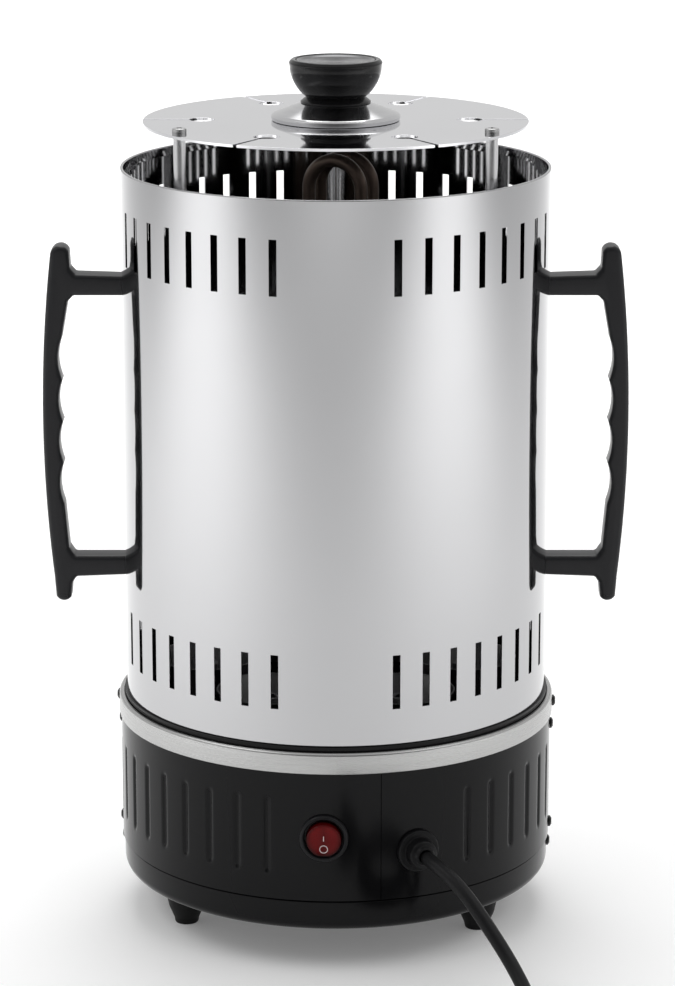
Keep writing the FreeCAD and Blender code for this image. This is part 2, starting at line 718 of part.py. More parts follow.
def make_feet():
    feet, screws = [], []
    for angle in foot_angles():
        across, away = turn_x(d.foot_circle, angle), turn_y(d.foot_circle, angle)
        foot = new_body("Foot")
        top = d.pan_low - 0.02
        revolve(foot, [(3.8, 0), (d.foot_low_radius, 0), (d.foot_high_radius, top), (1.75, top),
                       (1.75, 9), (3.8, 9)])
        feet.append(place(foot, across, away))
        screw = pan_head("FootScrew", 3.3, 2.2, 1.65, 18)
        screw.Placement = Placement(Vector(), Rotation(Vector(1, 0, 0), 180))
        bind(screw, "Placement.Base.x", across)
        bind(screw, "Placement.Base.y", away)
        bind(screw, "Placement.Base.z", 8.98)
        screws.append(screw)
    group("feet", feet)
    group("foot_screws", screws)


def side_screw_rows():
    """Radius and height of the screws on each side of the base, from ring to pan."""
    return ((d.ring_radius, 111.0), (d.band_radius, 98.5), (d.band_radius, 43.6), (d.pan_radius, 33.0))


def make_side_screws():
    screws = []
    for side in (90, -90):
        for radius, height in side_screw_rows():
            screw = pan_head("SideScrew", 2.9, 1.7, 1.2, 0.04)
            screws.append(face_out(screw, d.base_turn + side, radius + 0.05, height))
    group("side_screws", screws)


# ---------------------------------------------------------------- gears and skewer drive
def add_teeth(body, teeth, low):
    """Straight-sided teeth round a pitch circle."""
    pitch = d.gear_module * teeth / 2
    sketch = new_sketch(body, "XY_Plane", height=low)
    root, tip = pitch - d.tooth_root - 0.6, pitch + d.tooth_tip
    outline(sketch, [(root, -d.tooth_root_half), (pitch - d.tooth_root, -d.tooth_root_half),
                     (tip, -d.tooth_tip_half), (tip, d.tooth_tip_half),
                     (pitch - d.tooth_root, d.tooth_root_half), (root, d.tooth_root_half)])
    tooth = pad(body, sketch, d.gear_face)
    polar(body, tooth, round(teeth.value))


def make_hub():
    body = new_body("GearHub")
    low = d.plate_top + 0.02
    revolve(body, [
        (d.hub_bore, low), (36, low), (36, low + 1.6), (31, low + 1.6), (31, d.gear_low - 0.3),
        (d.hub_radius, d.gear_low - 0.3), (d.hub_radius, d.deck_top - 1.6),
        (d.hub_bore, d.deck_top - 1.6)])
    keep(body, "gear_hub")


def make_sun():
    body = new_body("SunGear")
    low, high = d.gear_low, d.gear_low + d.gear_face
    bore = d.hub_radius + d.running_gap
    root = d.gear_module * d.sun_teeth / 2 - d.tooth_root
    revolve(body, [
        (bore, low), (root, low), (root, high), (root - 3, high), (root - 3, high - 3),
        (31.5, high - 3), (31.5, high), (bore, high)])
    add_teeth(body, d.sun_teeth, low)
    keep(body, "sun_gear")


def meshing_turn(angle, teeth):
    """Turn of a gear at an angle round the sun, so that its gap meets a sun tooth."""
    return angle + 180 + 180 / teeth + angle * d.sun_teeth.value / teeth


def make_skewer_drive():
    low, high = d.gear_low, d.gear_low + d.gear_face
    shaft, gap = d.spindle_radius, d.running_gap
    root = d.gear_module * d.pinion_teeth / 2 - d.tooth_root
    bushes = []
    for i in range(SKEWERS):
        angle = 360 / SKEWERS * i
        across, away = turn_x(d.skewer_circle, angle), turn_y(d.skewer_circle, angle)
        body = new_body("SkewerPinion")
        revolve(body, [
            (0, d.plate_top - 3.5), (d.journal_radius, d.plate_top - 3.5), (d.journal_radius, low),
            (root, low), (root, high), (shaft, high), (shaft, 117.2), (8.5, 117.2),
            (8.5, d.cup_low - 0.3), (0, d.cup_low - 0.3)])
        add_teeth(body, d.pinion_teeth, low)
        hexagon = new_sketch(body, "XY_Plane", height=d.cup_low - 0.3)
        corner = d.hex_flats * HEX_CORNER
        outline(hexagon, [(turn_x(corner, 60 * k), turn_y(corner, 60 * k)) for k in range(6)])
        pad(body, hexagon, d.spindle_top - d.cup_low + 0.3)
        socket = new_sketch(body, "XY_Plane", height=d.spindle_top)
        half = d.socket_width / 2
        box_outline(socket, -half, half, -half, half)
        pocket(body, socket, 12)
        place(body, across, away, turn=meshing_turn(angle, d.pinion_teeth.value))
        keep(body, f"skewer_pinion_{i + 1}")
        bush = new_body("Bush")
        under, over = d.deck_top - d.deck_gauge - 1.6, d.deck_top + 1.2
        revolve(bush, [(shaft + gap, under), (7.5, under), (7.5, over), (shaft + gap, over)])
        bushes.append(place(bush, across, away))
        make_cup(i, across, away, meshing_turn(angle, d.pinion_teeth.value))
    group("deck_bushes", bushes)


def make_cup(i, across, away, turn):
    """A lift-out drip cup with flaring sides and a hexagonal hole for its spindle."""
    body = new_body("DripCup")
    low, gauge, rim = d.cup_low, d.cup_gauge, d.cup_radius
    high = low + d.cup_height
    revolve(body, [(0, low), (rim - 4, low), (rim, high), (rim - gauge, high),
                   (rim - 4 - gauge, low + gauge), (0, low + gauge)])
    hole = new_sketch(body, "XY_Plane", height=low - 1)
    corner = (d.hex_flats + 0.8) * HEX_CORNER
    outline(hole, [(turn_x(corner, 60 * k), turn_y(corner, 60 * k)) for k in range(6)])
    pocket(body, hole, 3, up=True)
    place(body, across, away, turn=turn)
    keep(body, f"drip_cup_{i + 1}")


MOTOR_ANGLE = 30.0
MOTOR_EARS = (29, -29)      # screws of the motor, each side of its middle


def motor_place():
    reach = d.gear_module * (d.sun_teeth + d.drive_teeth) / 2
    return turn_x(reach, MOTOR_ANGLE), turn_y(reach, MOTOR_ANGLE)


def make_gear_plate():
    body = new_body("GearPlate")
    low = d.plate_top - d.plate_gauge
    plate = circle(new_sketch(body, "XY_Plane", height=low), 0, 0, d.plate_radius)
    pad(body, plate, d.plate_gauge)
    journals = new_sketch(body, "XY_Plane", height=low - 1)
    circle(journals, d.skewer_circle, 0, d.journal_radius + d.running_gap)
    polar(body, pocket(body, journals, d.plate_gauge + 2, up=True), SKEWERS)
    fixing = new_sketch(body, "XY_Plane", height=low - 1)
    circle(fixing, 0, 0, d.hub_bore)
    across, away = motor_place()
    circle(fixing, across, away, 5.5)
    for side in MOTOR_EARS:
        circle(fixing, across + turn_x(side, MOTOR_ANGLE), away + turn_y(side, MOTOR_ANGLE), 1.6)
    for angle in POST_ANGLES.values():
        circle(fixing, turn_x(d.post_circle, angle), turn_y(d.post_circle, angle), 1.7)
    pocket(body, fixing, d.plate_gauge + 2, up=True)
    keep(body, "gear_plate")


def make_motor():
    across, away = motor_place()
    body = new_body("DriveMotor")
    can = d.motor_radius
    revolve(body, [(0, d.motor_low), (can, d.motor_low), (can, d.motor_high), (0, d.motor_high)])
    under = d.plate_top - d.plate_gauge - 0.02
    ears = new_sketch(body, "XY_Plane", height=d.motor_high)
    box_outline(ears, -33, 33, -5, 5)
    pad(body, ears, under - d.motor_high)
    well = circle(new_sketch(body, "XY_Plane", height=under), 0, 0, 5.5)
    pocket(body, well, under - d.motor_high)
    screws = new_sketch(body, "XY_Plane", height=under)
    for side in MOTOR_EARS:
        circle(screws, side, 0, 1.6)
    pocket(body, screws, under - d.motor_high)
    place(body, across, away, turn=MOTOR_ANGLE)
    keep(body, "drive_motor")
    pinion = new_body("MotorPinion")
    root = d.gear_module * d.drive_teeth / 2 - d.tooth_root
    revolve(pinion, [
        (0, d.motor_high + 0.3), (3.5, d.motor_high + 0.3), (3.5, d.gear_low), (root, d.gear_low),
        (root, d.gear_low + d.gear_face), (0, d.gear_low + d.gear_face)])
    add_teeth(pinion, d.drive_teeth, d.gear_low)
    place(pinion, across, away, turn=meshing_turn(MOTOR_ANGLE, d.drive_teeth.value))
    keep(pinion, "motor_pinion")
    fixings = []
    for side in MOTOR_EARS:
        screw = pan_head("MotorScrew", 2.8, 1.8, 1.5, 2.7)
        screw.Placement = Placement(Vector(), Rotation(Vector(1, 0, 0), 180))
        bind(screw, "Placement.Base.x", across + turn_x(side, MOTOR_ANGLE))
        bind(screw, "Placement.Base.y", away + turn_y(side, MOTOR_ANGLE))
        bind(screw, "Placement.Base.z", d.motor_high - 0.02)
        fixings.append(screw)
    group("motor_screws", fixings)


# ---------------------------------------------------------------- switch, gland and cord
ROCKER_PIVOT = -1.5      # rocker hinge behind the band's surface
PIVOT_REACH = 10.3       # pivot pins' ends from the middle of the switch


def make_switch():
    body = new_body("SwitchHousing")
    rim, well = d.bezel_radius, d.well_radius
    revolve(body, [
        (0, -22), (9.0, -22), (10.7, -14), (10.7, 0.05), (rim, 0.05), (rim, 1.1), (rim - 1.1, 2.2),
        (well, 2.2), (well, -11.4), (0, -11.4)])
    bore = doc.addObject("Part::Cylinder", "PivotBore")
    bore.Radius = 1.3
    bore.Height = 2 * PIVOT_REACH + 0.2
    bore.Placement = Placement(Vector(-PIVOT_REACH - 0.1, 0, ROCKER_PIVOT), Rotation(Vector(0, 1, 0), 90))
    bored = doc.addObject("Part::Cut", "SwitchHousingBored")
    bored.Base = body
    bored.Tool = bore
    keep(face_out(bored, d.base_turn, d.band_radius, d.switch_height), "switch_housing")
    rocker = new_body("Rocker")
    profile = new_sketch(rocker, "YZ_Plane")
    reach, crown = 12.0, 4.4
    rise = math.tan(math.radians(d.rocker_tilt.value)) * reach
    outline(profile, [(-reach, -4.5), (reach, -4.5), (reach, crown + rise), (0, crown),
                      (-reach, crown + rise)])
    pad(rocker, profile, 24, midplane=True)
    form = new_body("RockerForm")
    edge = d.rocker_radius - 0.5
    revolve(form, [(0, -4.5), (edge, -4.5), (d.rocker_radius, 0), (edge, 6), (0, 6)])
    trimmed = doc.addObject("Part::Common", "RockerTrimmed")
    trimmed.Base = rocker
    trimmed.Tool = form
    pivots = doc.addObject("Part::Cylinder", "RockerPivots")
    pivots.Radius = 1.2
    pivots.Height = 2 * PIVOT_REACH
    pivots.Placement = Placement(Vector(-PIVOT_REACH, 0, 0), Rotation(Vector(0, 1, 0), 90))
    pivoted = doc.addObject("Part::Fuse", "RockerPivoted")
    pivoted.Base = trimmed
    pivoted.Tool = pivots
    face_out(pivoted, d.base_turn, d.band_radius + ROCKER_PIVOT, d.switch_height)
    off = Rotation(Vector(1, 0, 0), d.rocker_tilt.value)
    pivoted.Placement = Placement(pivoted.Placement.Base, pivoted.Placement.Rotation * off)
    keep(pivoted, "switch_rocker")


def make_gland():
    body = new_body("CordGland")
    bore = d.cord_diameter / 2 + 0.02
    revolve(body, [
        (bore, -10), (6.4, -10), (8.0, 0.05), (d.gland_radius, 0.05), (d.gland_radius, 2.7),
        (d.boss_radius, 2.7), (d.boss_radius, 8.5), (4.8, 11.3), (bore, 11.3)])
    keep(face_out(body, d.outlet_angle, d.band_radius, d.outlet_height), "cord_gland")


def rounded_path(points):
    """Straight runs joined by tangent arcs, each as large as its two runs allow."""
    edges, start, radii = [], points[0], []
    for before, corner, after in zip(points, points[1:], points[2:]):
        back, ahead = before - corner, after - corner
        half_turn = (math.pi - back.getAngle(ahead)) / 2
        reach = 0.45 * min(back.Length, ahead.Length)
        radii.append(round(reach / math.tan(half_turn), 1))
        inlet = corner + back.normalize() * reach
        outlet = corner + ahead.normalize() * reach
        centre_way = (back + ahead).normalize()
        radius = reach / math.tan(half_turn)
        centre = corner + centre_way * (radius / math.cos(half_turn))
        middle = centre + (corner - centre).normalize() * radius
        edges.append(Part.LineSegment(start, inlet).toShape())
        edges.append(Part.Arc(inlet, middle, outlet).toShape())
        start = outlet
    edges.append(Part.LineSegment(start, points[-1]).toShape())
    return Part.Wire(edges), radii


def tube(label, points, diameter):
    """A round cord along a rounded path, its volume compared with section times length."""
    path, radii = rounded_path([Vector(*p) for p in points])
    way = path.Edges[0].tangentAt(path.Edges[0].FirstParameter)
    ring = Part.Wire([Part.Circle(Vector(*points[0]), way, diameter / 2).toShape()])
    solid = path.makePipeShell([ring], True, True)
    wanted = math.pi * diameter ** 2 / 4 * path.Length
    if abs(solid.Volume / wanted - 1) > 0.01:
        raise RuntimeError(f"{label} has the wrong volume")
    feature = doc.addObject("Part::Feature", label)
    feature.Shape = solid
    feature.Placement = Placement()
    print(label, "length", round(path.Length, 1), "radii", radii)
    return feature


COIL_RADIUS = 40.0
COIL_CENTRE = (82.8, -232.8)
PLUG_TILT = 13.5         # the plug rests on its flange and on its tail


def gland_point(reach):
    """A point on the gland's axis, at a reach from the middle of the base."""
    angle = math.radians(d.outlet_angle.value)
    return (reach * math.sin(angle), -reach * math.cos(angle), d.outlet_height.value)


CORD_ROUTE = [
    gland_point(104.0),
    gland_point(126.6),
    (61.5, -134.7, 55.6),
    (76.0, -143.6, 36.6),
    (89.0, -154.2, 18.0),
    (97.6, -174.4, 4.6),
    (110.5, -196.0, 3.65),
]


def make_cord():
    keep(tube("cord_run", CORD_ROUTE, d.cord_diameter.value), "cord_run")
    coil = new_body("CordCoil")
    wide, tall, corner = d.cord_diameter, d.cord_diameter * 2, d.cord_diameter / 3
    inner, outer = COIL_RADIUS - wide, COIL_RADIUS + wide
    revolve(coil, [
        (inner, 0.05), (outer, 0.05), (outer, tall - corner), (outer - corner, tall),
        (inner + corner, tall), (inner, tall - corner)])
    place(coil, COIL_CENTRE[0], COIL_CENTRE[1])
    keep(coil, "cord_coil")


def lay_plug(thing, sideways):
    """Put a piece of the plug, modelled along +Z from the cord's end, where the plug lies."""
    lay = Rotation(Vector(0, 1, 0), PLUG_TILT - 90)
    start = Vector(COIL_CENTRE[0] - 20, COIL_CENTRE[1] - COIL_RADIUS - d.cord_diameter.value / 2,
                   d.cord_diameter.value)
    thing.Placement = Placement(start, lay) * Placement(Vector(0, sideways, 0), Rotation())
    return thing


def make_plug():
    plug = new_body("CordPlug")
    revolve(plug, [(0, 0), (4.4, 0), (5.4, 20), (12.5, 26), (14.5, 44), (18.6, 47), (18.6, 54), (0, 54)])
    keep(lay_plug(plug, 0), "cord_plug")
    pins = []
    for sideways in (9.5, -9.5):
        pin = new_body("Pin")
        revolve(pin, [(0, 54.02), (2.4, 54.02), (2.4, 72), (1.6, 73), (0, 73)])
        pins.append(lay_plug(pin, sideways))
    group("plug_pins", pins)


def make_terminal_block():
    """The block on the pan's floor where the cord meets the inner wiring."""
    body = new_body("TerminalBlock")
    base = new_sketch(body, "XY_Plane")
    box_outline(base, -17, 17, -9, 9)
    pad(body, base, 16)
    channels = new_sketch(body, "XZ_Plane", height=-10)
    for across in (-11, 0, 11):
        circle(channels, across, 9, 2.4)
    pocket(body, channels, 30, midplane=True)
    screws = new_sketch(body, "XY_Plane", height=17)
    for across in (-11, 0, 11):
        circle(screws, across, 0, 1.8)
    pocket(body, screws, 6)
    angle = d.outlet_angle.value
    place(body, turn_x(76, angle - 90), turn_y(76, angle - 90), d.pan_low + d.band_gauge + 0.02,
          turn=angle)
    keep(body, "terminal_block")



make_casing()
make_handle("handle_right", 0)
make_handle("handle_left", 180)
make_handle_screws()
make_disc()
make_knob()
make_posts()
make_heater()
make_deck()
make_ring()
make_band()
make_pan()
make_feet()
make_side_screws()
make_hub()
make_sun()
make_skewer_drive()
make_gear_plate()
make_motor()
make_switch()
make_gland()
make_terminal_block()
make_cord()
make_plug()

doc.recompute()
for thing in doc.Objects:
    if "Invalid" in thing.State or "Error" in thing.State:
        raise RuntimeError(f"{thing.Name} ({thing.Label}) failed: {thing.State}")
for thing in nodes:
    if thing.Shape.isNull() or not thing.Shape.isValid():
        raise RuntimeError(f"{thing.Label} has no valid shape")
os.makedirs("parts", exist_ok=True)
for thing in nodes:
    thing.Shape.exportStep(os.path.join("parts", thing.Label + ".step"))
print(len(nodes), "nodes")
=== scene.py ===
"""Dressed scene of an upright electric skewer grill, laid out as an add-on."""
import functools
from math import asin, copysign, cos, exp, hypot, pi, radians, sin, sqrt, tan

import bmesh
import bpy
from bpy.props import FloatProperty, FloatVectorProperty, IntProperty, PointerProperty
from mathutils import Matrix, Vector


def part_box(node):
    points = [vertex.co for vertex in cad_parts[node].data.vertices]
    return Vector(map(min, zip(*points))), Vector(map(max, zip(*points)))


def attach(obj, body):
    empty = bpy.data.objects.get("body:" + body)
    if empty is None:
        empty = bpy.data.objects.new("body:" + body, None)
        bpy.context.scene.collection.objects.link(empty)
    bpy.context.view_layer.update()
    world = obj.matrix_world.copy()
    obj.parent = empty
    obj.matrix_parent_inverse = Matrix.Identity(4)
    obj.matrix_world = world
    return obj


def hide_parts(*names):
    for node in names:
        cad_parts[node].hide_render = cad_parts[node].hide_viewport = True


bl_info = {
    "name": "Skewer Grill",
    "version": (1, 0),
    "blender": (4, 5, 0),
    "location": "View3D > Sidebar > Grill",
    "description": "Dresses the packed model of an electric skewer grill",
    "category": "Object",
}

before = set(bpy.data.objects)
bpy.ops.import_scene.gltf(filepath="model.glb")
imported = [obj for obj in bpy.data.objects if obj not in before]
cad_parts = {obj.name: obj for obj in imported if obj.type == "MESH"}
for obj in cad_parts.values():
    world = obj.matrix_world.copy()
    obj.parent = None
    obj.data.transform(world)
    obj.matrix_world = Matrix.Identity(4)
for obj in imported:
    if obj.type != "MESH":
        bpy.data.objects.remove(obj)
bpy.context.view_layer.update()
MM = 0.001
SKEWERS = 6
LENS, SENSOR, CAMERA_TILT = 128.74, 36.0, radians(-14.32)
CAMERA_PLACE = (0.0009, -1.7844, 0.67785)
ROUND = 160          # sides of a large round piece
MIDDLE_ROUND = 96    # sides of a middle one
SMALL_ROUND = 48     # sides of a small one
POST_CIRCLE = 89.6 * MM
POSTS = {"post_front_right": -30, "post_rear": 90, "post_front_left": 210}
FOOT_CIRCLE, FOOT_TURN = 88 * MM, -3.0
SKEWER_CIRCLE, KEYHOLE, SLIT = 68 * MM, 6.5 * MM, 1.0 * MM
SLOT_ROWS = (152.0 * MM, 361.4 * MM)
WALL_STEP = radians(2.1)
GROOVE_MIDDLE, GROOVE_HALF = 72.5 * MM, 20.5 * MM
ARM_ROOT = 112 * MM
LAP_SEAM = radians(11.6)
RING_MOUTH = 111.6 * MM
VENTS, VENT_CIRCLE, VENT_SIZE = 12, 41 * MM, (22 * MM, 3.5 * MM, 6 * MM)
HEATER_TURN, HEATER_SHIFT = radians(-24.0), 2.5 * MM
HAIRPIN_REACH, HAIRPIN_TOP = 14.5 * MM, 398.4 * MM
HAIRPIN_TUBE, HAIRPIN_OFFSET = 3.4 * MM, 7.15 * MM
OUTLET_ANGLE, OUTLET_HEIGHT = radians(21.3), 63.6 * MM
COIL_CENTRE, COIL_RADIUS = (82.8 * MM, -232.8 * MM), 40.0 * MM
COIL_START, PLUG_TILT = radians(48), radians(13.5)
SWITCH_TURN, SWITCH_HEIGHT = radians(-3.0), 72.6 * MM
ROCKER_TILT = radians(7.5)


@functools.cache
def box_of(node):
    """A node's lowest and highest corner, measured once."""
    low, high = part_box(node)
    return tuple(low), tuple(high)


def top_of(node):
    return box_of(node)[1][2]


def low_of(node):
    return box_of(node)[0][2]


def radius_of(node):
    """Outside radius of a node that is round about the vertical axis of the grill."""
    return box_of(node)[1][0]


# ---- what a user would change
def length(name, description, default):
    return FloatProperty(name=name, description=description, default=default * MM, unit="LENGTH")


def angle(name, description, degrees):
    return FloatProperty(name=name, description=description, default=radians(degrees),
                         subtype="ANGLE")


def amount(name, description, default):
    return IntProperty(name=name, description=description, default=default)


def tint(name, description, *default):
    return FloatVectorProperty(name=name, description=description, default=default,
                               subtype="COLOR")


class GrillSizes(bpy.types.PropertyGroup):
    """Sizes of the visible pieces."""
    slot_width: length("Slot width", "Width of a casing slot", 4.0)
    slot_height: length("Slot height", "Height of a casing slot", 28.0)
    slots_per_quarter: amount("Slots per quarter", "Slots in a quarter of a row", 8)
    slot_first: angle("First slot", "Angle from the front to the first slot", 16.0)
    slot_pitch: angle("Slot pitch", "Angle between slots", 8.27)
    sheet: length("Sheet", "Thickness of the casing and band", 0.8)
    grooves: amount("Grooves", "Pressed grooves round the band", 38)
    groove_pitch: angle("Groove pitch", "Angle between grooves", 8.276)
    groove_first: angle("First groove", "Angle from the front to a groove", 36.0)
    groove_width: length("Groove width", "Width of a pressed groove", 4.6)
    groove_depth: length("Groove depth", "Depth of a pressed groove", 1.0)
    handle_edge: length("Handle edge", "Rounding of the handle's long edges", 2.5)
    cord_diameter: length("Cord", "Diameter of the mains cord", 7.2)
    coil_turns: amount("Coil turns", "Turns of the coil, in two layers", 4)


class GrillColours(bpy.types.PropertyGroup):
    """Colours of the finishes."""
    steel: tint("Polished steel", "Casing", 0.495, 0.495, 0.503)
    ring: tint("Ring", "Brushed ring", 0.49, 0.49, 0.485)
    enamel: tint("Enamel", "Black deck, band and pan", 0.0045, 0.0045, 0.005)
    moulding: tint("Moulding", "Black handles", 0.012, 0.012, 0.0135)
    rocker: tint("Rocker", "Red rocker", 0.055, 0.0012, 0.0015)
    heater: tint("Heater", "Heat-tinted tube", 0.055, 0.038, 0.030)
    floor: tint("Floor", "Plain pale floor", 0.88, 0.88, 0.88)


def sizes():
    return bpy.context.scene.grill_sizes


def colours():
    return bpy.context.scene.grill_colours


# ---- shader expressions
class Value:
    """A shader socket that takes part in expressions."""

    def __init__(self, shader, socket):
        self.shader = shader
        self.socket = socket

    def maths(self, operation, *values):
        return self.shader.node("ShaderNodeMath", {"operation": operation},
                                dict(enumerate(values)))

    def __add__(self, other):
        return self.maths("ADD", self, other)

    def __radd__(self, other):
        return self.maths("ADD", other, self)

    def __sub__(self, other):
        return self.maths("SUBTRACT", self, other)

    def __rsub__(self, other):
        return self.maths("SUBTRACT", other, self)

    def __mul__(self, other):
        return self.maths("MULTIPLY", self, other)

    def __rmul__(self, other):
        return self.maths("MULTIPLY", other, self)

    def __pow__(self, other):
        return self.maths("POWER", self, other)

    def clamped(self):
        return self.shader.node("ShaderNodeClamp", {}, {0: self})


class NodeTree:
    """A tree of shader nodes that is written as expressions."""

    def __init__(self, tree):
        self.tree = tree

    def feed(self, socket, value):
        """Give a socket a constant or an expression."""
        if isinstance(value, Value):
            self.tree.links.new(value.socket, socket)
        else:
            socket.default_value = value

    def node(self, kind, settings, values, output=0):
        """A node of a type, with its settings and what feeds its sockets."""
        made = self.tree.nodes.new(kind)
        for name, setting in settings.items():
            setattr(made, name, setting)
        for name, value in values.items():
            self.feed(made.inputs[name], value)
        return Value(self, made.outputs[output])

    def place(self):
        """The point in the piece's own space, as a vector."""
        return self.node("ShaderNodeTexCoord", {}, {}, "Object")

    def axes(self, vector=None):
        """The X, Y and Z of a vector, or of the point in the piece's space."""
        split = self.node("ShaderNodeSeparateXYZ", {}, {0: vector or self.place()}).socket.node
        return [Value(self, socket) for socket in split.outputs]

    def vector(self, x, y, z):
        return self.node("ShaderNodeCombineXYZ", {}, {0: x, 1: y, 2: z})

    def noise(self, scale, detail=3.0, where=None):
        """A cloudy value about 0.5."""
        return self.node("ShaderNodeTexNoise", {}, {
            "Vector": where or self.place(), "Scale": scale, "Detail": detail})

    def mix(self, factor, first, second):
        """A colour between two."""
        first, second = (end if isinstance(end, Value) else (*end[:3], 1)
                         for end in (first, second))
        return self.node("ShaderNodeMix", {"data_type": "RGBA"},
                         {0: factor, 6: first, 7: second}, 2)


class Shader(NodeTree):
    """A material whose surface is built from expressions."""

    def __init__(self, name, colour, roughness, metallic=0.0, **constants):
        self.material = bpy.data.materials.new(name)
        self.material.use_nodes = True
        super().__init__(self.material.node_tree)
        self.surface = self.tree.nodes["Principled BSDF"]
        self.material.diffuse_color = (*colour, 1)
        self.set("Base Color", (*colour, 1))
        self.set("Roughness", roughness)
        self.set("Metallic", metallic)
        for socket, value in constants.items():
            self.set(socket.replace("_", " "), value)

    def set(self, socket, value):
        """Feed a socket of the surface."""
        self.feed(self.surface.inputs[socket], value)

    def shade(self, factor, colour, share):
        """Colour the surface between a colour and a share of it."""
        self.set("Base Color", self.mix(factor, colour, [c * share for c in colour]))

    def bump(self, height, strength, distance):
        self.set("Normal", self.node("ShaderNodeBump", {}, {
            "Strength": strength, "Distance": distance, "Height": height}))


def radius_and_turn(shader):
    """Distance from the vertical axis, angle about it, and height."""
    x, y, z = shader.axes()
    radius = (x * x + y * y) ** 0.5
    return radius, x.maths("ARCTAN2", x, y), z


def polished_steel(name="Polished steel", rough=0.055, colour=None):
    """Mirror sheet with faint upright polishing lines and a cloudy haze."""
    colour = colour or colours().steel
    shader = Shader(name, colour, rough, 1.0)
    _, turn, z = radius_and_turn(shader)
    lines = shader.noise(1.0, 4.0, shader.vector(turn * 90, z * 3, 0.0))
    haze = shader.noise(14.0)
    shader.set("Roughness", rough + lines * 0.03 + haze * 0.03 - 0.03)
    shader.shade(haze, colour, 0.93)
    shader.bump(lines, 0.015, 0.0003)
    return shader.material


def spun_steel(name, colour, rough, lines_scale=2600.0):
    """Steel finished on a lathe: fine circular lines about the vertical axis."""
    shader = Shader(name, colour, rough, 1.0)
    radius, turn, z = radius_and_turn(shader)
    across = shader.vector(radius * lines_scale, z * lines_scale, turn * 1.3)
    lines = shader.noise(1.0, 2.0, across)
    haze = shader.noise(25.0)
    shader.set("Roughness", rough - 0.06 + lines * 0.12 + haze * 0.05)
    shader.shade(lines, colour, 0.82)
    shader.bump(lines, 0.12, 0.00005)
    return shader.material


def plain_metal(name, colour, rough):
    """Small turned or pressed metal with a cloudy finish."""
    shader = Shader(name, colour, rough, 1.0)
    cloud = shader.noise(180.0)
    shader.set("Roughness", rough - 0.05 + cloud * 0.14)
    shader.shade(cloud, colour, 0.75)
    return shader.material


def enamel():
    """Glossy black enamel on sheet, slightly wavy like orange peel."""
    shader = Shader("Black enamel", colours().enamel, 0.15, 0.0, Specular_IOR_Level=0.15)
    peel = shader.noise(420.0, 2.0)
    haze = shader.noise(16.0)
    shader.set("Roughness", 0.09 + haze * 0.10)
    shader.bump(peel, 0.05, 0.0002)
    return shader.material


def moulding(name, colour, rough=0.34, grain=1500.0, strength=0.10, shine=0.25):
    """Moulded black plastic with a fine grain."""
    shader = Shader(name, colour, rough, 0.0, Specular_IOR_Level=shine)
    speckle = shader.noise(grain, 2.0)
    haze = shader.noise(60.0)
    shader.set("Roughness", rough - 0.06 + haze * 0.12)
    shader.shade(speckle, colour, 1.35)
    shader.bump(speckle, strength, 0.0001)
    return shader.material


def heat_tinted():
    """A steel sheath tinted brown by heat, darker in patches."""
    shader = Shader("Heater tube", colours().heater, 0.42, 0.85)
    patches = shader.noise(55.0, 5.0)
    shader.set("Base Color", shader.mix(patches, colours().heater, (0.15, 0.115, 0.095)))
    shader.set("Roughness", 0.34 + patches * 0.2)
    shader.bump(shader.noise(900.0), 0.08, 0.0001)
    return shader.material


def ceramic():
    shader = Shader("Ceramic", (0.72, 0.69, 0.62), 0.55)
    grain = shader.noise(700.0)
    shader.set("Base Color", shader.mix(grain, (0.76, 0.73, 0.66), (0.62, 0.58, 0.50)))
    shader.bump(grain, 0.15, 0.0001)
    return shader.material


def red_rocker():
    """Dark translucent red plastic with painted light: two lighter lobes of painted glow beside a
    deeper valley, and painted shade towards the rim.
    """
    shader = Shader("Rocker red", colours().rocker, 0.24, 0.0, Specular_IOR_Level=0.13)
    x, _, z = shader.axes()
    across = (x - radius_of("base_band") * sin(SWITCH_TURN)) * (1 / MM)
    up = (z - SWITCH_HEIGHT) * (1 / MM)
    away = across.maths("ABSOLUTE", across)
    # Painted glow: lighter away from the middle line and towards the top.
    painted_glow = (0.35 + away * 0.22 - (away ** 2) * 0.024 + up * 0.03).clamped()
    # Painted shade: darker beyond 6.2 mm from the middle, towards the rim.
    rim = (((across ** 2 + up ** 2) ** 0.5 - 6.2) * 0.33).clamped()
    cloud = shader.noise(160.0)
    deep = colours().rocker
    red = shader.mix(painted_glow * (0.8 + cloud * 0.4), deep, [c * 2.6 for c in deep])
    shader.set("Base Color", shader.mix(rim ** 1.5, red, [c * 0.16 for c in deep]))
    return shader.material


def white_print():
    shader = Shader("Switch marks", (0.72, 0.60, 0.60), 0.5)
    shader.set("Roughness", 0.4 + shader.noise(900.0) * 0.2)
    return shader.material


def rubber(name, colour=(0.007, 0.007, 0.0075), rough=0.42):
    shader = Shader(name, colour, rough, 0.0, Specular_IOR_Level=0.2)
    grain = shader.noise(1100.0)
    shader.set("Roughness", rough - 0.06 + grain * 0.14)
    shader.shade(grain, colour, 1.5)
    shader.bump(grain, 0.08, 0.0001)
    return shader.material


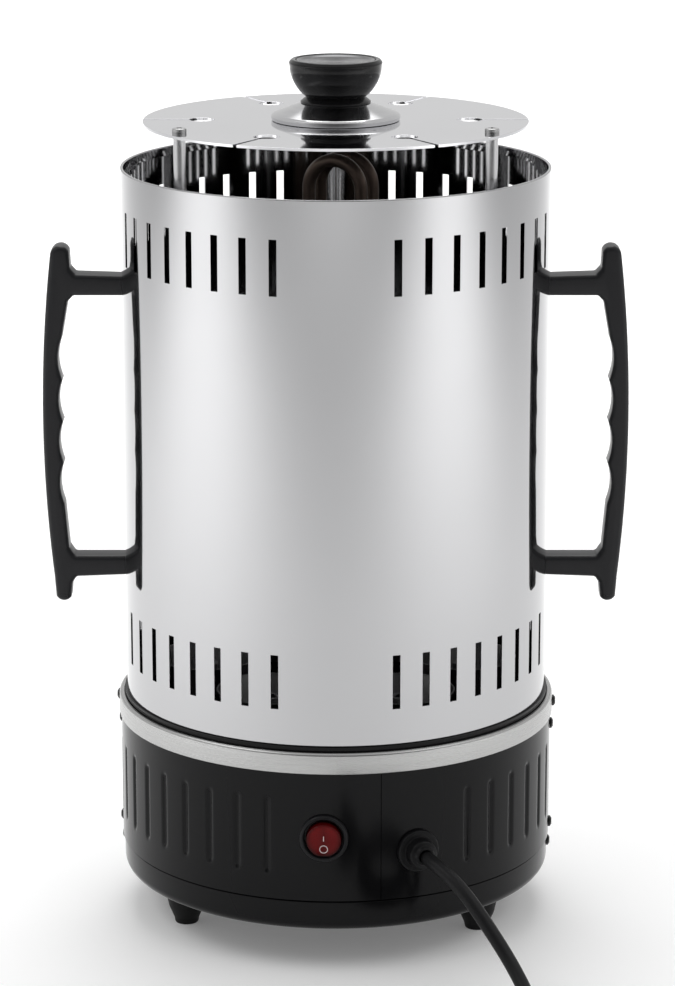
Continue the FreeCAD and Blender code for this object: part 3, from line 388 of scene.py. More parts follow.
@functools.cache
def finish(name):
    """A finish by name, made once."""
    maker, *details = {
        "steel": (polished_steel,),
        "disc": (polished_steel, "Polished disc", 0.05, (0.82, 0.82, 0.84)),
        "post": (polished_steel, "Post steel", 0.20, (0.80, 0.80, 0.81)),
        "ring": (spun_steel, "Spun ring", colours().ring, 0.25),
        "deck": (spun_steel, "Deck steel", (0.30, 0.30, 0.30), 0.34, 900.0),
        "chrome": (spun_steel, "Chrome skirt", (0.66, 0.66, 0.67), 0.10, 400.0),
        "enamel": (enamel,),
        "handle": (moulding, "Handle moulding", colours().moulding),
        "knob": (moulding, "Knob moulding", (0.008, 0.008, 0.0085), 0.14, 400.0, 0.02),
        "inlay": (spun_steel, "Knob inlay", (0.17, 0.17, 0.175), 0.16, 500.0),
        "bezel": (moulding, "Bezel plastic", (0.008, 0.008, 0.009), 0.30, 1500.0, 0.10, 0.18),
        "gland": (moulding, "Gland plastic", (0.005, 0.005, 0.0055), 0.36, 1500.0, 0.10, 0.15),
        "rocker": (red_rocker,),
        "marks": (white_print,),
        "heater": (heat_tinted,),
        "ceramic": (ceramic,),
        "screw": (plain_metal, "Screw steel", (0.55, 0.55, 0.55), 0.25),
        "dark screw": (plain_metal, "Blackened screw", (0.03, 0.03, 0.03), 0.35),
        "gear": (plain_metal, "Gear steel", (0.33, 0.33, 0.34), 0.35),
        "brass": (plain_metal, "Bush brass", (0.62, 0.44, 0.20), 0.32),
        "cup": (spun_steel, "Cup steel", (0.48, 0.48, 0.48), 0.28, 900.0),
        "motor": (plain_metal, "Motor zinc", (0.36, 0.37, 0.38), 0.4),
        "cord": (rubber, "Cord sheath"),
        "foot": (rubber, "Foot rubber", (0.005, 0.005, 0.005), 0.5),
        "pin": (plain_metal, "Nickel pin", (0.62, 0.60, 0.56), 0.22),
        "block": (moulding, "Terminal moulding", (0.55, 0.54, 0.50), 0.45),
    }[name]
    return maker(*details)


# ---- mesh helpers
def rounded(corners, steps=5):
    """An outline whose corners (x, y, radius) are rounded by arcs."""
    points = []
    count = len(corners)
    for i, corner in enumerate(corners):
        here = Vector(corner[:2])
        radius = corner[2] if len(corner) > 2 else 0
        if not radius:
            points.append(here)
            continue
        back = (Vector(corners[i - 1][:2]) - here).normalized()
        ahead = (Vector(corners[(i + 1) % count][:2]) - here).normalized()
        half = back.angle(ahead) / 2
        centre = here + (back + ahead).normalized() * (radius / sin(half))
        start, end = (here + way * (radius / tan(half)) - centre for way in (back, ahead))
        points += [centre + start.lerp(end, k / steps).normalized() * radius
                   for k in range(steps + 1)]
    return points


def strip(first, second, count):
    """Quads between two closed loops, each given by the number of its first point."""
    return [(first + i, first + (i + 1) % count, second + (i + 1) % count, second + i)
            for i in range(count)]


def strips(count, rows):
    """Quads between closed loops that follow each other."""
    return [quad for row in range(rows - 1)
            for quad in strip(row * count, (row + 1) * count, count)]


def cap(row, count):
    """The face that closes a loop."""
    return tuple(range(row * count, (row + 1) * count))


def turns(count):
    """The angles of equal steps round a circle."""
    return [2 * pi * k / count for k in range(count)]


def add(name, data):
    """A new object in the scene."""
    obj = bpy.data.objects.new(name, data)
    bpy.context.scene.collection.objects.link(obj)
    return obj


def mesh_of(vertices, faces, sharp=35):
    """A smooth-shaded mesh whose edges over an angle stay sharp."""
    mesh = bpy.data.meshes.new("Mesh")
    mesh.from_pydata([tuple(v) for v in vertices], [], faces)
    clean = bmesh.new()
    clean.from_mesh(mesh)
    bmesh.ops.remove_doubles(clean, verts=clean.verts, dist=1e-7)
    bmesh.ops.dissolve_degenerate(clean, edges=clean.edges, dist=1e-8)
    bmesh.ops.recalc_face_normals(clean, faces=clean.faces)
    clean.to_mesh(mesh)
    clean.free()
    mesh.shade_smooth()
    mesh.set_sharp_from_angle(angle=radians(sharp))
    return mesh


def lathe(outline, sides=ROUND):
    """A mesh turned about the vertical from a closed outline of (radius, height)."""
    count = len(outline)
    vertices = [around(p[0], turn, p[1]) for turn in turns(sides) for p in outline]
    faces = [quad for k in range(sides)
             for quad in strip(k * count, (k + 1) % sides * count, count)]
    return mesh_of(vertices, faces)


def turned(corners, sides=ROUND):
    """A lathed mesh from corners (radius, height, rounding) in millimetres."""
    return lathe([p * MM for p in rounded(corners)], sides)


def join(*meshes):
    """One mesh made of several."""
    whole = bmesh.new()
    for mesh in meshes:
        whole.from_mesh(mesh)
    joined = bpy.data.meshes.new("Mesh")
    whole.to_mesh(joined)
    whole.free()
    joined.set_sharp_from_angle(angle=radians(35))
    return joined


def moved(mesh, matrix):
    """A copy of a mesh at another place."""
    copy = mesh.copy()
    copy.transform(matrix)
    return copy


def cut(mesh, boxes, crossing=False):
    """The mesh less some boxes, each a unit cube under a matrix."""
    bars = bmesh.new()
    for box in boxes:
        bmesh.ops.create_cube(bars, size=1, matrix=box)
    tool = bpy.data.meshes.new("Tool")
    bars.to_mesh(tool)
    bars.free()
    whole, cutter = add("Whole", mesh), add("Tool", tool)
    change = whole.modifiers.new("Cut", "BOOLEAN")
    change.object = cutter
    change.use_self = crossing
    bpy.context.view_layer.update()
    depsgraph = bpy.context.evaluated_depsgraph_get()
    result = bpy.data.meshes.new_from_object(whole.evaluated_get(depsgraph))
    for obj in (whole, cutter):
        bpy.data.objects.remove(obj)
    return result


def piece(name, mesh, look, slot, *stands_for, body="base"):
    """A piece of the grill: its finish, its slot (not used), the nodes it stands for and its body.
    """
    mesh.name = name
    mesh.materials.append(finish(look))
    obj = add(name, mesh)
    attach(obj, body)
    if stands_for:
        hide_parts(*stands_for)
    return obj


def dress(look, *nodes):
    """Give CAD nodes that stay a better finish."""
    for node in nodes:
        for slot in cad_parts[node].material_slots:
            slot.material = finish(look)


def around(radius, turn, height=0.0):
    """A point at a radius and an angle from +X."""
    return (radius * cos(turn), radius * sin(turn), height)


def from_front(radius, turn, height):
    """A point at a radius and an angle from the front."""
    return (radius * sin(turn), -radius * cos(turn), height)


def out_of_wall(turn, radius, height):
    """Placement on the side wall: local +Z outwards, +Y up."""
    return (Matrix.Translation(from_front(radius, turn, height))
            @ Matrix.Rotation(turn, 4, "Z") @ Matrix.Rotation(pi / 2, 4, "X"))


def at(radius, degrees, height=0.0):
    """Placement on a circle about the grill's axis."""
    return Matrix.Translation(around(radius, radians(degrees), height))


# ---- camera
class GRILL_OT_camera(bpy.types.Operator):
    """Camera in front of the grill and a little above it"""
    bl_idname = "grill.camera"
    bl_label = "Camera"

    def execute(self, context):
        data = bpy.data.cameras.new("Camera")
        data.lens = LENS
        data.sensor_width = SENSOR
        camera = add("Camera", data)
        camera.location = CAMERA_PLACE
        camera.rotation_euler = (pi / 2 + CAMERA_TILT, 0, 0)
        context.scene.camera = camera
        return {"FINISHED"}


# ---- cord and plug
def gland_point(reach):
    """A point on the gland's axis, at a reach from the middle."""
    return from_front(reach, OUTLET_ANGLE, OUTLET_HEIGHT)


CORD_ROUTE = [
    gland_point(0.1040),
    gland_point(0.1266),
    (0.0615, -0.1347, 0.0556),
    (0.0760, -0.1436, 0.0366),
    (0.0890, -0.1542, 0.0180),
    (0.0976, -0.1744, 0.0046),
    (0.1105, -0.1960, 0.00365),
]


def coil_point(reach, turn, height):
    """A point of the coil, at a reach and an angle from its middle."""
    x, y, z = around(reach, turn, height)
    return (COIL_CENTRE[0] + x, COIL_CENTRE[1] + y, z)


def coil_points(rounds, diameter):
    """Clockwise turns, two side by side on the floor and two on top of them."""
    points = []
    places = ((0.5, 0), (-0.5, 0), (-0.5, 1), (0.5, 1))
    for count in range(rounds):
        side, layer = places[count % 4]
        following = places[(count + 1) % 4]
        for turn in turns(16):
            ease = max(0.0, (turn / (2 * pi) - 0.7) / 0.3) if count < rounds - 1 else 0.0
            reach = COIL_RADIUS + (side + (following[0] - side) * ease) * diameter
            height = (layer + (following[1] - layer) * ease + 0.507) * diameter
            points.append(coil_point(reach, COIL_START - turn, height))
    return points


class GRILL_OT_cord(bpy.types.Operator):
    """Mains cord from its gland to the coil, with its plug"""
    bl_idname = "grill.cord"
    bl_label = "Cord and plug"

    def execute(self, context):
        diameter = sizes().cord_diameter
        start = Vector((*COIL_CENTRE, 7.2 * MM)) - Vector((20 * MM, COIL_RADIUS + 3.6 * MM, 0))
        way = Vector((-cos(PLUG_TILT), 0, sin(PLUG_TILT)))
        tail = [coil_point(COIL_RADIUS + diameter / 2, radians(degrees),
                           (1.507 - 0.6 * (20 - degrees) / 100) * diameter)
                for degrees in (20, -8, -36, -62, -80)]
        points = CORD_ROUTE + coil_points(sizes().coil_turns, diameter) + tail
        points += [start - way * 4 * MM, start + way * 8 * MM]
        data = bpy.data.curves.new("Mains_cord", "CURVE")
        data.dimensions = "3D"
        line = data.splines.new("NURBS")
        line.points.add(len(points) - 1)
        for knot, point in zip(line.points, points):
            knot.co = (*point, 1)
        line.order_u = 3
        line.use_endpoint_u = True
        line.resolution_u = 6
        data.bevel_depth = diameter / 2
        data.bevel_resolution = 6
        data.use_fill_caps = True
        obj = add("Mains_cord", data)
        data.materials.append(finish("cord"))
        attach(obj, "base")
        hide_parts("cord_run", "cord_coil")
        lay = Matrix.Translation(start) @ Matrix.Rotation(PLUG_TILT - pi / 2, 4, "Y")
        body = turned([
            (3.4, -1), (4.4, 0, 0.6), (5.4, 20, 8), (12.5, 26, 3), (14.5, 44, 1), (18.6, 47, 1.5),
            (18.6, 54, 1.2), (17, 54), (16.4, 52.6), (0, 52.6), (0, -1)], MIDDLE_ROUND)
        plug = piece("Plug_body", moved(body, lay), "cord", "cord_rubber", "cord_plug")
        pin = turned([(0, 52), (2.4, 52), (2.4, 73, 1.6), (0, 73)], SMALL_ROUND)
        pins = join(*(moved(pin, lay @ Matrix.Translation((0, side * MM, 0)))
                      for side in (9.5, -9.5)))
        pins = piece("Plug_pins", pins, "pin", "pin_nickel", "plug_pins")
        gland = make_gland()
        gland_point(0.1040)
        return {"FINISHED"}


def make_gland():
    """The moulded gland with its flange, boss and tapered sleeve."""
    mesh = turned([
        (3.6, -10), (6.4, -10), (8.0, 0.05), (10.9, 0.05), (10.9, 2.7, 1.1), (7.6, 2.7, 0.5),
        (7.2, 8.7, 1.4), (5.2, 9.6, 0.6), (4.5, 11.3, 0.4), (3.6, 11.3)], MIDDLE_ROUND)
    mesh = moved(mesh, out_of_wall(OUTLET_ANGLE, radius_of("base_band"), OUTLET_HEIGHT))
    return piece("Cord_gland", mesh, "gland", "black_plastic", "cord_gland")


# ---- casing
def slot_columns():
    """Angles of the wall's columns from the front, and the columns that a slot takes."""
    half = asin(sizes().slot_width / 2 / radius_of("casing_shell"))
    edges, taken, columns = [], set(), [0.0]
    for quarter in turns(4):
        for i in range(sizes().slots_per_quarter):
            middle = quarter + sizes().slot_first + sizes().slot_pitch * i
            edges.append((middle - half, middle + half))
    for start, end in edges + [(2 * pi, None)]:
        gap = start - columns[-1]
        steps = max(1, round(gap / WALL_STEP))
        last = columns[-1]
        columns += [last + gap * k / steps for k in range(1, steps + 1)] if steps > 1 else [start]
        if end is not None:
            taken.add(len(columns) - 1)
            columns.append(end)
    return columns[:-1], taken


def slotted_wall(radius, inside, low, high):
    """A round wall with two rows of slots, its normals exactly radial."""
    columns, taken = slot_columns()
    half = sizes().slot_height / 2
    lower, upper = SLOT_ROWS
    rows = [low, lower - half, lower + half, (lower + upper) / 2, upper - half, upper + half, high]
    count, layers = len(columns), len(rows)
    vertices = [Vector(from_front(reach, turn, z))
                for reach in (radius, inside) for z in rows for turn in columns]

    def index(layer, row, column):
        return (layer * layers + row) * count + column % count

    def solid(row, column):
        return 0 <= row < layers - 1 and not (row in (1, 4) and column % count in taken)

    faces, kinds = [], []
    for row in range(layers - 1):
        for column in range(count):
            if not solid(row, column):
                continue
            corners = [(row, column), (row, column + 1),
                       (row + 1, column + 1), (row + 1, column)]
            faces.append([index(0, *c) for c in corners])
            kinds.append(1)
            faces.append([index(1, *c) for c in reversed(corners)])
            kinds.append(-1)
            beside = [(row - 1, column), (row, column + 1), (row + 1, column), (row, column - 1)]
            for k, neighbour in enumerate(beside):
                if not solid(*neighbour):
                    a, b = corners[k], corners[(k + 1) % 4]
                    faces.append([index(0, *b), index(0, *a), index(1, *a), index(1, *b)])
                    kinds.append(0)
    mesh = bpy.data.meshes.new("Casing")
    mesh.from_pydata(vertices, [], faces)
    mesh.shade_smooth()
    normals = []
    for face, kind in zip(mesh.polygons, kinds):
        for corner in face.vertices:
            way = Vector((vertices[corner].x, vertices[corner].y, 0)).normalized()
            normals.append(way * kind if kind else face.normal.copy())
    mesh.normals_split_custom_set(normals)
    return mesh


class GRILL_OT_casing(bpy.types.Operator):
    """Polished casing with its two rows of slots and its folded hem"""
    bl_idname = "grill.casing"
    bl_label = "Casing"

    def execute(self, context):
        radius = radius_of("casing_shell")
        low, high = low_of("casing_shell"), top_of("casing_shell")
        gauge, fold = sizes().sheet, high - 0.6 * MM
        inner, hem, end = radius - gauge, radius - 2 * gauge, high - 5 * MM
        piece("Casing_wall", slotted_wall(radius, inner, low, fold), "steel", "polished_steel",
              "casing_shell", body="casing")
        outline = rounded([
            (radius, fold), (radius, high, 0.55 * MM), (hem, high, 0.55 * MM),
            (hem, end, 0.3 * MM), (inner, end), (inner, fold)])
        piece("Casing_hem", lathe(outline), "steel", "polished_steel", body="casing")
        return {"FINISHED"}


# ---- handles
def arc(start, end, radius, steps):
    """Points between two on an arc that bulges right of its way, or left if negative."""
    start, end = Vector(start), Vector(end)
    chord = end - start
    left = Vector((-chord.y, chord.x)).normalized()
    rise = sqrt(radius ** 2 - (chord.length / 2) ** 2)
    centre = (start + end) / 2 + left * copysign(rise, radius)
    spoke = start - centre
    turn = spoke.angle_signed(end - centre)
    return [centre + Matrix.Rotation(-turn * k / steps, 2) @ spoke for k in range(1, steps)]


def handle_profile():
    """Side view of the right handle: two arms, and a bowed grip with four finger valleys."""
    root, ridge, high, low, half = 109.0, 141.17, 333.6, 185.0, 5.2
    foot = [(ridge - 2.6, low - 17.2), (ridge + 5.3, low - 16.8)]
    back = [(ridge + 6.1, low - 5.7), (ridge + 5.1, high + 16.8)]
    tip = [back[1], (ridge - 4.4, high + 17.6)]
    ridges = [(ridge, 262.0 + 22.0 * (2 - i)) for i in range(5)]
    corners = [
        (root, low - half), (ridge - 5.5, low - half - 1.0, 2), (ridge - 3.2, low - half - 4.5, 2),
        foot[0], *arc(*foot, 4.6, 12), foot[1], back[0], *arc(*back, 745.0, 30),
        tip[0], *arc(*tip, 5.0, 12), tip[1],
        (ridge - 4.9, high + half + 3.8, 2), (ridge - 7.6, high + half + 0.8, 2),
        (root, high + half), (root, high - half),
        (ridge - 6.4, high - half, 2), (ridge - 3.4, high - half - 3.2, 2)]
    for start, end in zip(ridges, ridges[1:]):
        corners += [start, *arc(start, end, -30.0, 8)]
    corners += [ridges[-1], (ridge - 2.0, low + half + 4.2, 2), (ridge - 4.8, low + half, 2),
                (root, low + half)]
    return [Vector(p) * MM for p in rounded(corners, 4)]


def shrunk(profile, inset):
    """The outline moved inwards, its corners kept in line."""
    points = []
    count = len(profile)
    for i, here in enumerate(profile):
        before = (here - profile[i - 1]).normalized()
        after = (profile[(i + 1) % count] - here).normalized()
        way = (before + after).normalized()
        stretch = min(1 / max(way.dot(after), 0.5), 1.5)
        points.append(here + Vector((-way.y, way.x)) * inset * stretch)
    return points


def handle_mesh(side):
    """The handle as a stack of outlines across its depth, smaller near its faces."""
    profile = []
    for point in handle_profile():
        if not profile or (point - profile[-1]).length > 0.05 * MM:
            profile.append(point)
    half, edge, steps = 7.5 * MM, sizes().handle_edge, 5
    bends = [pi / 2 * k / steps for k in range(steps + 1)]
    levels = [(half - edge * (1 - sin(a)), edge * (1 - cos(a))) for a in bends]
    stack = [(-y, inset) for y, inset in reversed(levels)] + levels
    wall = radius_of("casing_shell") + 0.05 * MM
    vertices = []
    for y, inset in stack:
        for point in shrunk(profile, inset):
            across = sqrt(wall ** 2 - y ** 2) if point.x < ARM_ROOT else point.x
            vertices.append((across * side, y * side, point.y))
    count, rows = len(profile), len(stack)
    faces = strips(count, rows) + [cap(0, count), cap(rows - 1, count)]
    return mesh_of(vertices, faces, 50)


class GRILL_OT_handles(bpy.types.Operator):
    """Black moulded handles with finger valleys, and their screws inside the casing"""
    bl_idname = "grill.handles"
    bl_label = "Handles"

    def execute(self, context):
        for name, side in (("right", 1), ("left", -1)):
            piece(f"Handle_{name}", handle_mesh(side), "handle", "handle_black", f"handle_{name}",
                  body="casing")
        dress("screw", "handle_screws")
        return {"FINISHED"}


# ---- top disc and knob
class GRILL_OT_disc(bpy.types.Operator):
    """Polished top disc with six keyholes"""
    bl_idname = "grill.disc"
    bl_label = "Top disc"

    def execute(self, context):
        radius = radius_of("top_disc")
        low, high = low_of("top_disc"), top_of("top_disc")
        mouth, start = asin(SLIT / radius), asin(SLIT / KEYHOLE)
        outline = []
        for turn in turns(SKEWERS):
            outline += [around(radius, turn + radians(-30 + 3 * i)) for i in range(1, 10)]
            outline.append(around(radius, turn - mouth))
            for i in range(25):
                a = -start - (2 * pi - 2 * start) * i / 24
                x, y = SKEWER_CIRCLE + KEYHOLE * cos(a), KEYHOLE * sin(a)
                outline.append((x * cos(turn) - y * sin(turn),
                                x * sin(turn) + y * cos(turn)))
            outline.append(around(radius, turn + mouth))
            outline += [around(radius, turn + radians(3 * i)) for i in range(1, 11)]
        count = len(outline)
        vertices = [(*point[:2], z) for z in (low, high) for point in outline]
        faces = [cap(0, count), cap(1, count), *strip(0, count, count)]
        obj = piece("Top_disc", mesh_of(vertices, faces), "disc", "satin_steel", "top_disc")
        bevel = obj.modifiers.new("Bevel", "BEVEL")
        bevel.width = 0.12 * MM
        bevel.segments = 1
        bevel.limit_method = "ANGLE"
        bevel.angle_limit = radians(60)
        bevel.harden_normals = True
        return {"FINISHED"}


KNOB_FLARE = [(15.1 + 8.4 * sin(pi / 2 * k / 14) ** 0.75, 12.0 + 15.5 * k / 14)
              for k in range(15)]


class GRILL_OT_knob(bpy.types.Operator):
    """Black knob on its bright skirt"""
    bl_idname = "grill.knob"
    bl_label = "Knob"

    def execute(self, context):
        up = Matrix.Translation((0, 0, top_of("top_disc")))
        skirt = turned([
            (9.1, 8.0), (18, 8.0, 1), (31.4, 2.9, 1.0), (31.6, 0.3, 0.4), (32.6, 0.1, 0.4),
            (33.0, 2.6, 1.3), (31.6, 3.6, 1.2), (18, 8.7, 2), (9.1, 8.7)])
        piece("Knob_skirt", moved(skirt, up), "chrome", "chrome_knob", "knob_skirt")
        body = turned([
            (2, 0.1), (9, 0.1), (9, 8.75), (17.8, 8.75, 0.3), (18.0, 9.6, 0.5), *KNOB_FLARE,
            (23.9, 29.4, 1.4), (22.4, 31.0, 1.0), (20.6, 30.9, 0.5), (19.9, 29.0), (2, 29.0)])
        piece("Knob_body", moved(body, up), "knob", "knob_black", "knob_body")
        inlay = [(0, 28.9), (19.85, 28.9), (19.85, 30.6), (18.6, 30.4), (17.6, 29.9), (16.4, 29.6)]
        for k in range(4):
            reach = 15.4 - 3.2 * k
            inlay += [(reach, 29.75 - 0.06 * k), (reach - 1.2, 29.45 - 0.06 * k)]
        inlay = turned(inlay + [(0, 29.3)])
        piece("Knob_inlay", moved(inlay, up), "inlay", "knob_grey", "knob_inlay")
        dress("screw", "knob_screw")
        return {"FINISHED"}


# ---- posts and screws
def screw_head(radius, height, recess):
    """A pan head with a cross recess, standing on height 0."""
    dome = rounded([
        (0, 0), (radius, 0), (radius, height * 0.86, height * 0.3), (0, height * 1.05)], 6)
    bars = [Matrix.Translation((0, 0, height)) @ Matrix.Diagonal((*size, height * 1.1, 1))
            for size in ((recess * 2, recess * 0.5), (recess * 0.5, recess * 2))]
    head = cut(lathe(dome, SMALL_ROUND), bars, crossing=True)
    head.set_sharp_from_angle(angle=radians(30))
    return head


class GRILL_OT_posts(bpy.types.Operator):
    """Bright posts between deck and disc, with their screws"""
    bl_idname = "grill.posts"
    bl_label = "Posts"

    def execute(self, context):
        radius, edge, disc = 3.1 * MM, 0.3 * MM, top_of("top_disc")
        head = screw_head(3.65 * MM, 2.4 * MM, 1.7 * MM)
        shank = turned([(0, 0.1), (1.6, 0.1), (1.6, -11), (0, -11)], 24)
        heads, shanks = [], []
        for node, degrees in POSTS.items():
            low, high = low_of(node), top_of(node)
            outline = rounded([(0, low), (radius, low, edge), (radius, high, edge), (0, high)], 3)
            mesh = moved(lathe(outline, SMALL_ROUND), at(POST_CIRCLE, degrees))
            piece(node.title(), mesh, "post", "polished_steel", node)
            heads.append(moved(head, at(POST_CIRCLE, degrees, disc + 0.02 * MM)
                               @ Matrix.Rotation(radians(20 + degrees), 4, "Z")))
            shanks.append(moved(shank, at(POST_CIRCLE, degrees, disc)))
        piece("Post_screws", join(*heads, *shanks), "screw", "screw_steel", "post_top_screws")
        dress("screw", "plate_screws", "plate_spacers", "holder_screws", "foot_screws")
        return {"FINISHED"}


# ---- heater
class GRILL_OT_heater(bpy.types.Operator):
    """Two upright hairpins of heating tube in ceramic beads"""
    bl_idname = "grill.heater"
    bl_label = "Heater"

    def execute(self, context):
        reach, middle = HAIRPIN_REACH, HAIRPIN_TOP - HAIRPIN_REACH
        for name, side in (("rear", 1), ("front", -1)):
            node = f"heating_element_{name}"
            low = low_of(node)
            leg = [(reach, low + (middle - low) * k / 8) for k in range(8)]
            bend = [(reach * cos(a), middle + reach * sin(a)) for a in turns(48)[:25]]
            path = leg + bend + [(-x, z) for x, z in reversed(leg)]
            spot = (Matrix.Translation((HEATER_SHIFT, 0, 0)) @ Matrix.Rotation(HEATER_TURN, 4, "Z")
                    @ Matrix.Translation((0, HAIRPIN_OFFSET * side, 0)))
            piece(f"Hairpin_{name}", moved(sweep(path, HAIRPIN_TUBE, 28), spot), "heater",
                  "heater_tube", node)
        dress("ceramic", "heater_insulators")
        dress("screw", "heater_terminals")
        dress("deck", "heater_holder")
        return {"FINISHED"}


def sweep(path, radius, sides):
    """A round tube along a path in the XZ plane."""
    vertices = []
    count = len(path)
    for i, point in enumerate(path):
        before, after = Vector(path[max(i - 1, 0)]), Vector(path[min(i + 1, count - 1)])
        way = (after - before).normalized()
        out = Vector((way.y, -way.x))
        for a in turns(sides):
            spread = out * (radius * cos(a))
            vertices.append((point[0] + spread.x, radius * sin(a), point[1] + spread.y))
    return mesh_of(vertices, strips(sides, count) + [cap(0, sides), cap(count - 1, sides)], 60)


# ---- base
class GRILL_OT_deck(bpy.types.Operator):
    """Deck that the casing stands on, with its bushes"""
    bl_idname = "grill.deck"
    bl_label = "Deck"

    def execute(self, context):
        # Painted shade: the deck is finished black so that the gap under the casing's edge always
        # reads dark, as the shade inside that gap does.
        dress("enamel", "deck_plate")
        dress("brass", "deck_bushes")
        return {"FINISHED"}


class GRILL_OT_ring(bpy.types.Operator):
    """Bright spun ring round the top of the base"""
    bl_idname = "grill.ring"
    bl_label = "Trim ring"

    def execute(self, context):
        low, high = low_of("trim_ring"), top_of("trim_ring")
        outer, inner, gauge = radius_of("trim_ring") - 0.02 * MM, RING_MOUTH, 0.8 * MM
        outline = rounded([
            (outer - gauge, low), (outer, low, 0.3 * MM), (outer, high, 1.6 * MM),
            (inner, high, 0.3 * MM), (inner, high - gauge),
            (outer - gauge, high - gauge, 0.9 * MM)], 6)
        piece("Trim_ring", lathe(outline, ROUND * 2), "ring", "bright_trim", "trim_ring")
        return {"FINISHED"}


def band_depth(turn, height):
    """How far the band is pressed in at an angle from the front and a height."""
    radius = radius_of("base_band")
    pitch = sizes().groove_pitch
    turn = (turn - sizes().groove_first) % (2 * pi)
    number = round(turn / pitch)
    if number >= sizes().grooves and turn < 2 * pi - pitch / 2:
        return 0.0
    across = (turn - number * pitch if number < sizes().grooves else turn - 2 * pi) * radius
    width = sizes().groove_width / 2
    over = max(abs(height - GROOVE_MIDDLE) - (GROOVE_HALF - width), 0)
    away = hypot(across, over) / width
    return sizes().groove_depth * cos(pi / 2 * away) ** 2 * 1.1 if away < 1 else 0.0


class GRILL_OT_band(bpy.types.Operator):
    """Black enamelled band with its pressed grooves and lap seam"""
    bl_idname = "grill.band"
    bl_label = "Band"

    def execute(self, context):
        radius, gauge = radius_of("base_band"), sizes().sheet
        low, high = low_of("base_band"), top_of("base_band")
        steps = [LAP_SEAM - 0.0012, LAP_SEAM, LAP_SEAM + 0.002]
        columns = sorted([c for c in turns(720) if abs(c - LAP_SEAM) > 0.004] + steps)
        edge = low + 0.4 * MM
        rows = [low, edge] + [edge + (high - edge) * k / 60 for k in range(1, 61)]
        vertices = []
        for inset in (0, gauge):
            for z in rows:
                for turn in columns:
                    lap = 0.35 * MM if turn == LAP_SEAM else 0
                    depth = inset + band_depth(turn, z) + lap
                    vertices.append(from_front(radius - depth, turn, z))
        count = len(columns)
        layer, last = len(rows) * count, (len(rows) - 1) * count
        outside = strips(count, len(rows))
        faces = outside + [tuple(layer + q for q in reversed(quad)) for quad in outside]
        faces += strip(0, layer, count) + strip(last, layer + last, count)
        piece("Base_band", mesh_of(vertices, faces, 50), "enamel", "black_enamel", "base_band")
        return {"FINISHED"}


class GRILL_OT_pan(bpy.types.Operator):
    """Bottom pan on its three feet"""
    bl_idname = "grill.pan"
    bl_label = "Pan and feet"

    def execute(self, context):
        low, high, outer = low_of("bottom_pan"), top_of("bottom_pan"), radius_of("bottom_pan")
        gauge, bend = sizes().sheet, 5.5 * MM
        seam = low_of("base_band")
        neck = outer - 1.3 * MM
        outline = rounded([
            (0, low), (outer, low, bend), (outer, seam - 1.0 * MM, 0.5 * MM),
            (neck, seam - 0.5 * MM, 0.3 * MM), (neck, high), (neck - gauge, high),
            (neck - gauge, low + gauge, bend - gauge), (0, low + gauge)], 8)
        vent = Matrix.Translation((VENT_CIRCLE, 0, low)) @ Matrix.Diagonal((*VENT_SIZE, 1))
        pan = cut(lathe(outline, ROUND * 2),
                  [Matrix.Rotation(turn, 4, "Z") @ vent for turn in turns(VENTS)])
        piece("Bottom_pan", pan, "enamel", "black_enamel", "bottom_pan")
        top = low / MM - 0.02
        foot = turned([
            (3.8, 9), (3.8, 0), (6, 0, 0.8), (6.6, 3.0, 3), (9.2, 9, 12), (12, top, 0.4),
            (1.75, top), (1.75, 9)], MIDDLE_ROUND)
        feet = [moved(foot, at(FOOT_CIRCLE, degrees + FOOT_TURN)) for degrees in POSTS.values()]
        piece("Feet", join(*feet), "foot", "foot_rubber", "feet")
        return {"FINISHED"}


# ---- switch
class GRILL_OT_switch(bpy.types.Operator):
    """Round rocker switch with its marks"""
    bl_idname = "grill.switch"
    bl_label = "Switch"

    def execute(self, context):
        wall = radius_of("base_band")
        bezel = turned([
            (9.9, -6), (10.7, -6), (10.7, 0.05), (12.3, 0.05), (12.3, 2.2, 1.3), (10.6, 2.4, 0.5),
            (9.9, 1.4, 0.3)], MIDDLE_ROUND)
        back = turned([
            (0, -11.4), (9.9, -11.4), (9.9, -5.9), (10.7, -5.9), (10.7, -14), (9, -22),
            (0, -22)], MIDDLE_ROUND)
        spot = out_of_wall(SWITCH_TURN, wall, SWITCH_HEIGHT)
        piece("Switch_bezel", moved(join(bezel, back), spot), "bezel", "black_plastic",
              "switch_housing")
        tilted = (out_of_wall(SWITCH_TURN, wall - 1.5 * MM, SWITCH_HEIGHT)
                  @ Matrix.Rotation(ROCKER_TILT, 4, "X"))
        piece("Rocker", moved(rocker_mesh(), tilted), "rocker", "switch_red", "switch_rocker",
              body="rocker")
        bar = ((-0.2, -0.2), (0.2, -0.2), (0.2, 2.6), (-0.2, 2.6))
        bar = rounded([(*corner, 0.18) for corner in bar], 3)
        outer, inner = ([(reach * cos(a), reach * sin(a) - 4.6) for a in turns(40)]
                        for reach in (2.15, 1.78))
        marks = join(printed(bar), printed(outer, inner))
        piece("Switch_marks", moved(marks, tilted), "marks", "terminal_white", body="rocker")
        return {"FINISHED"}


def rocker_height(x, y):
    """Height of the rocker's face above its hinge: a V across it, hollowed along its middle."""
    rise = hypot(abs(y) * tan(ROCKER_TILT), 0.18)
    hollow = 0.55 * exp(-(x / 2.6) ** 2) * min(1, max(0, (abs(y) - 1) / 4))
    return 4.4 + rise - hollow


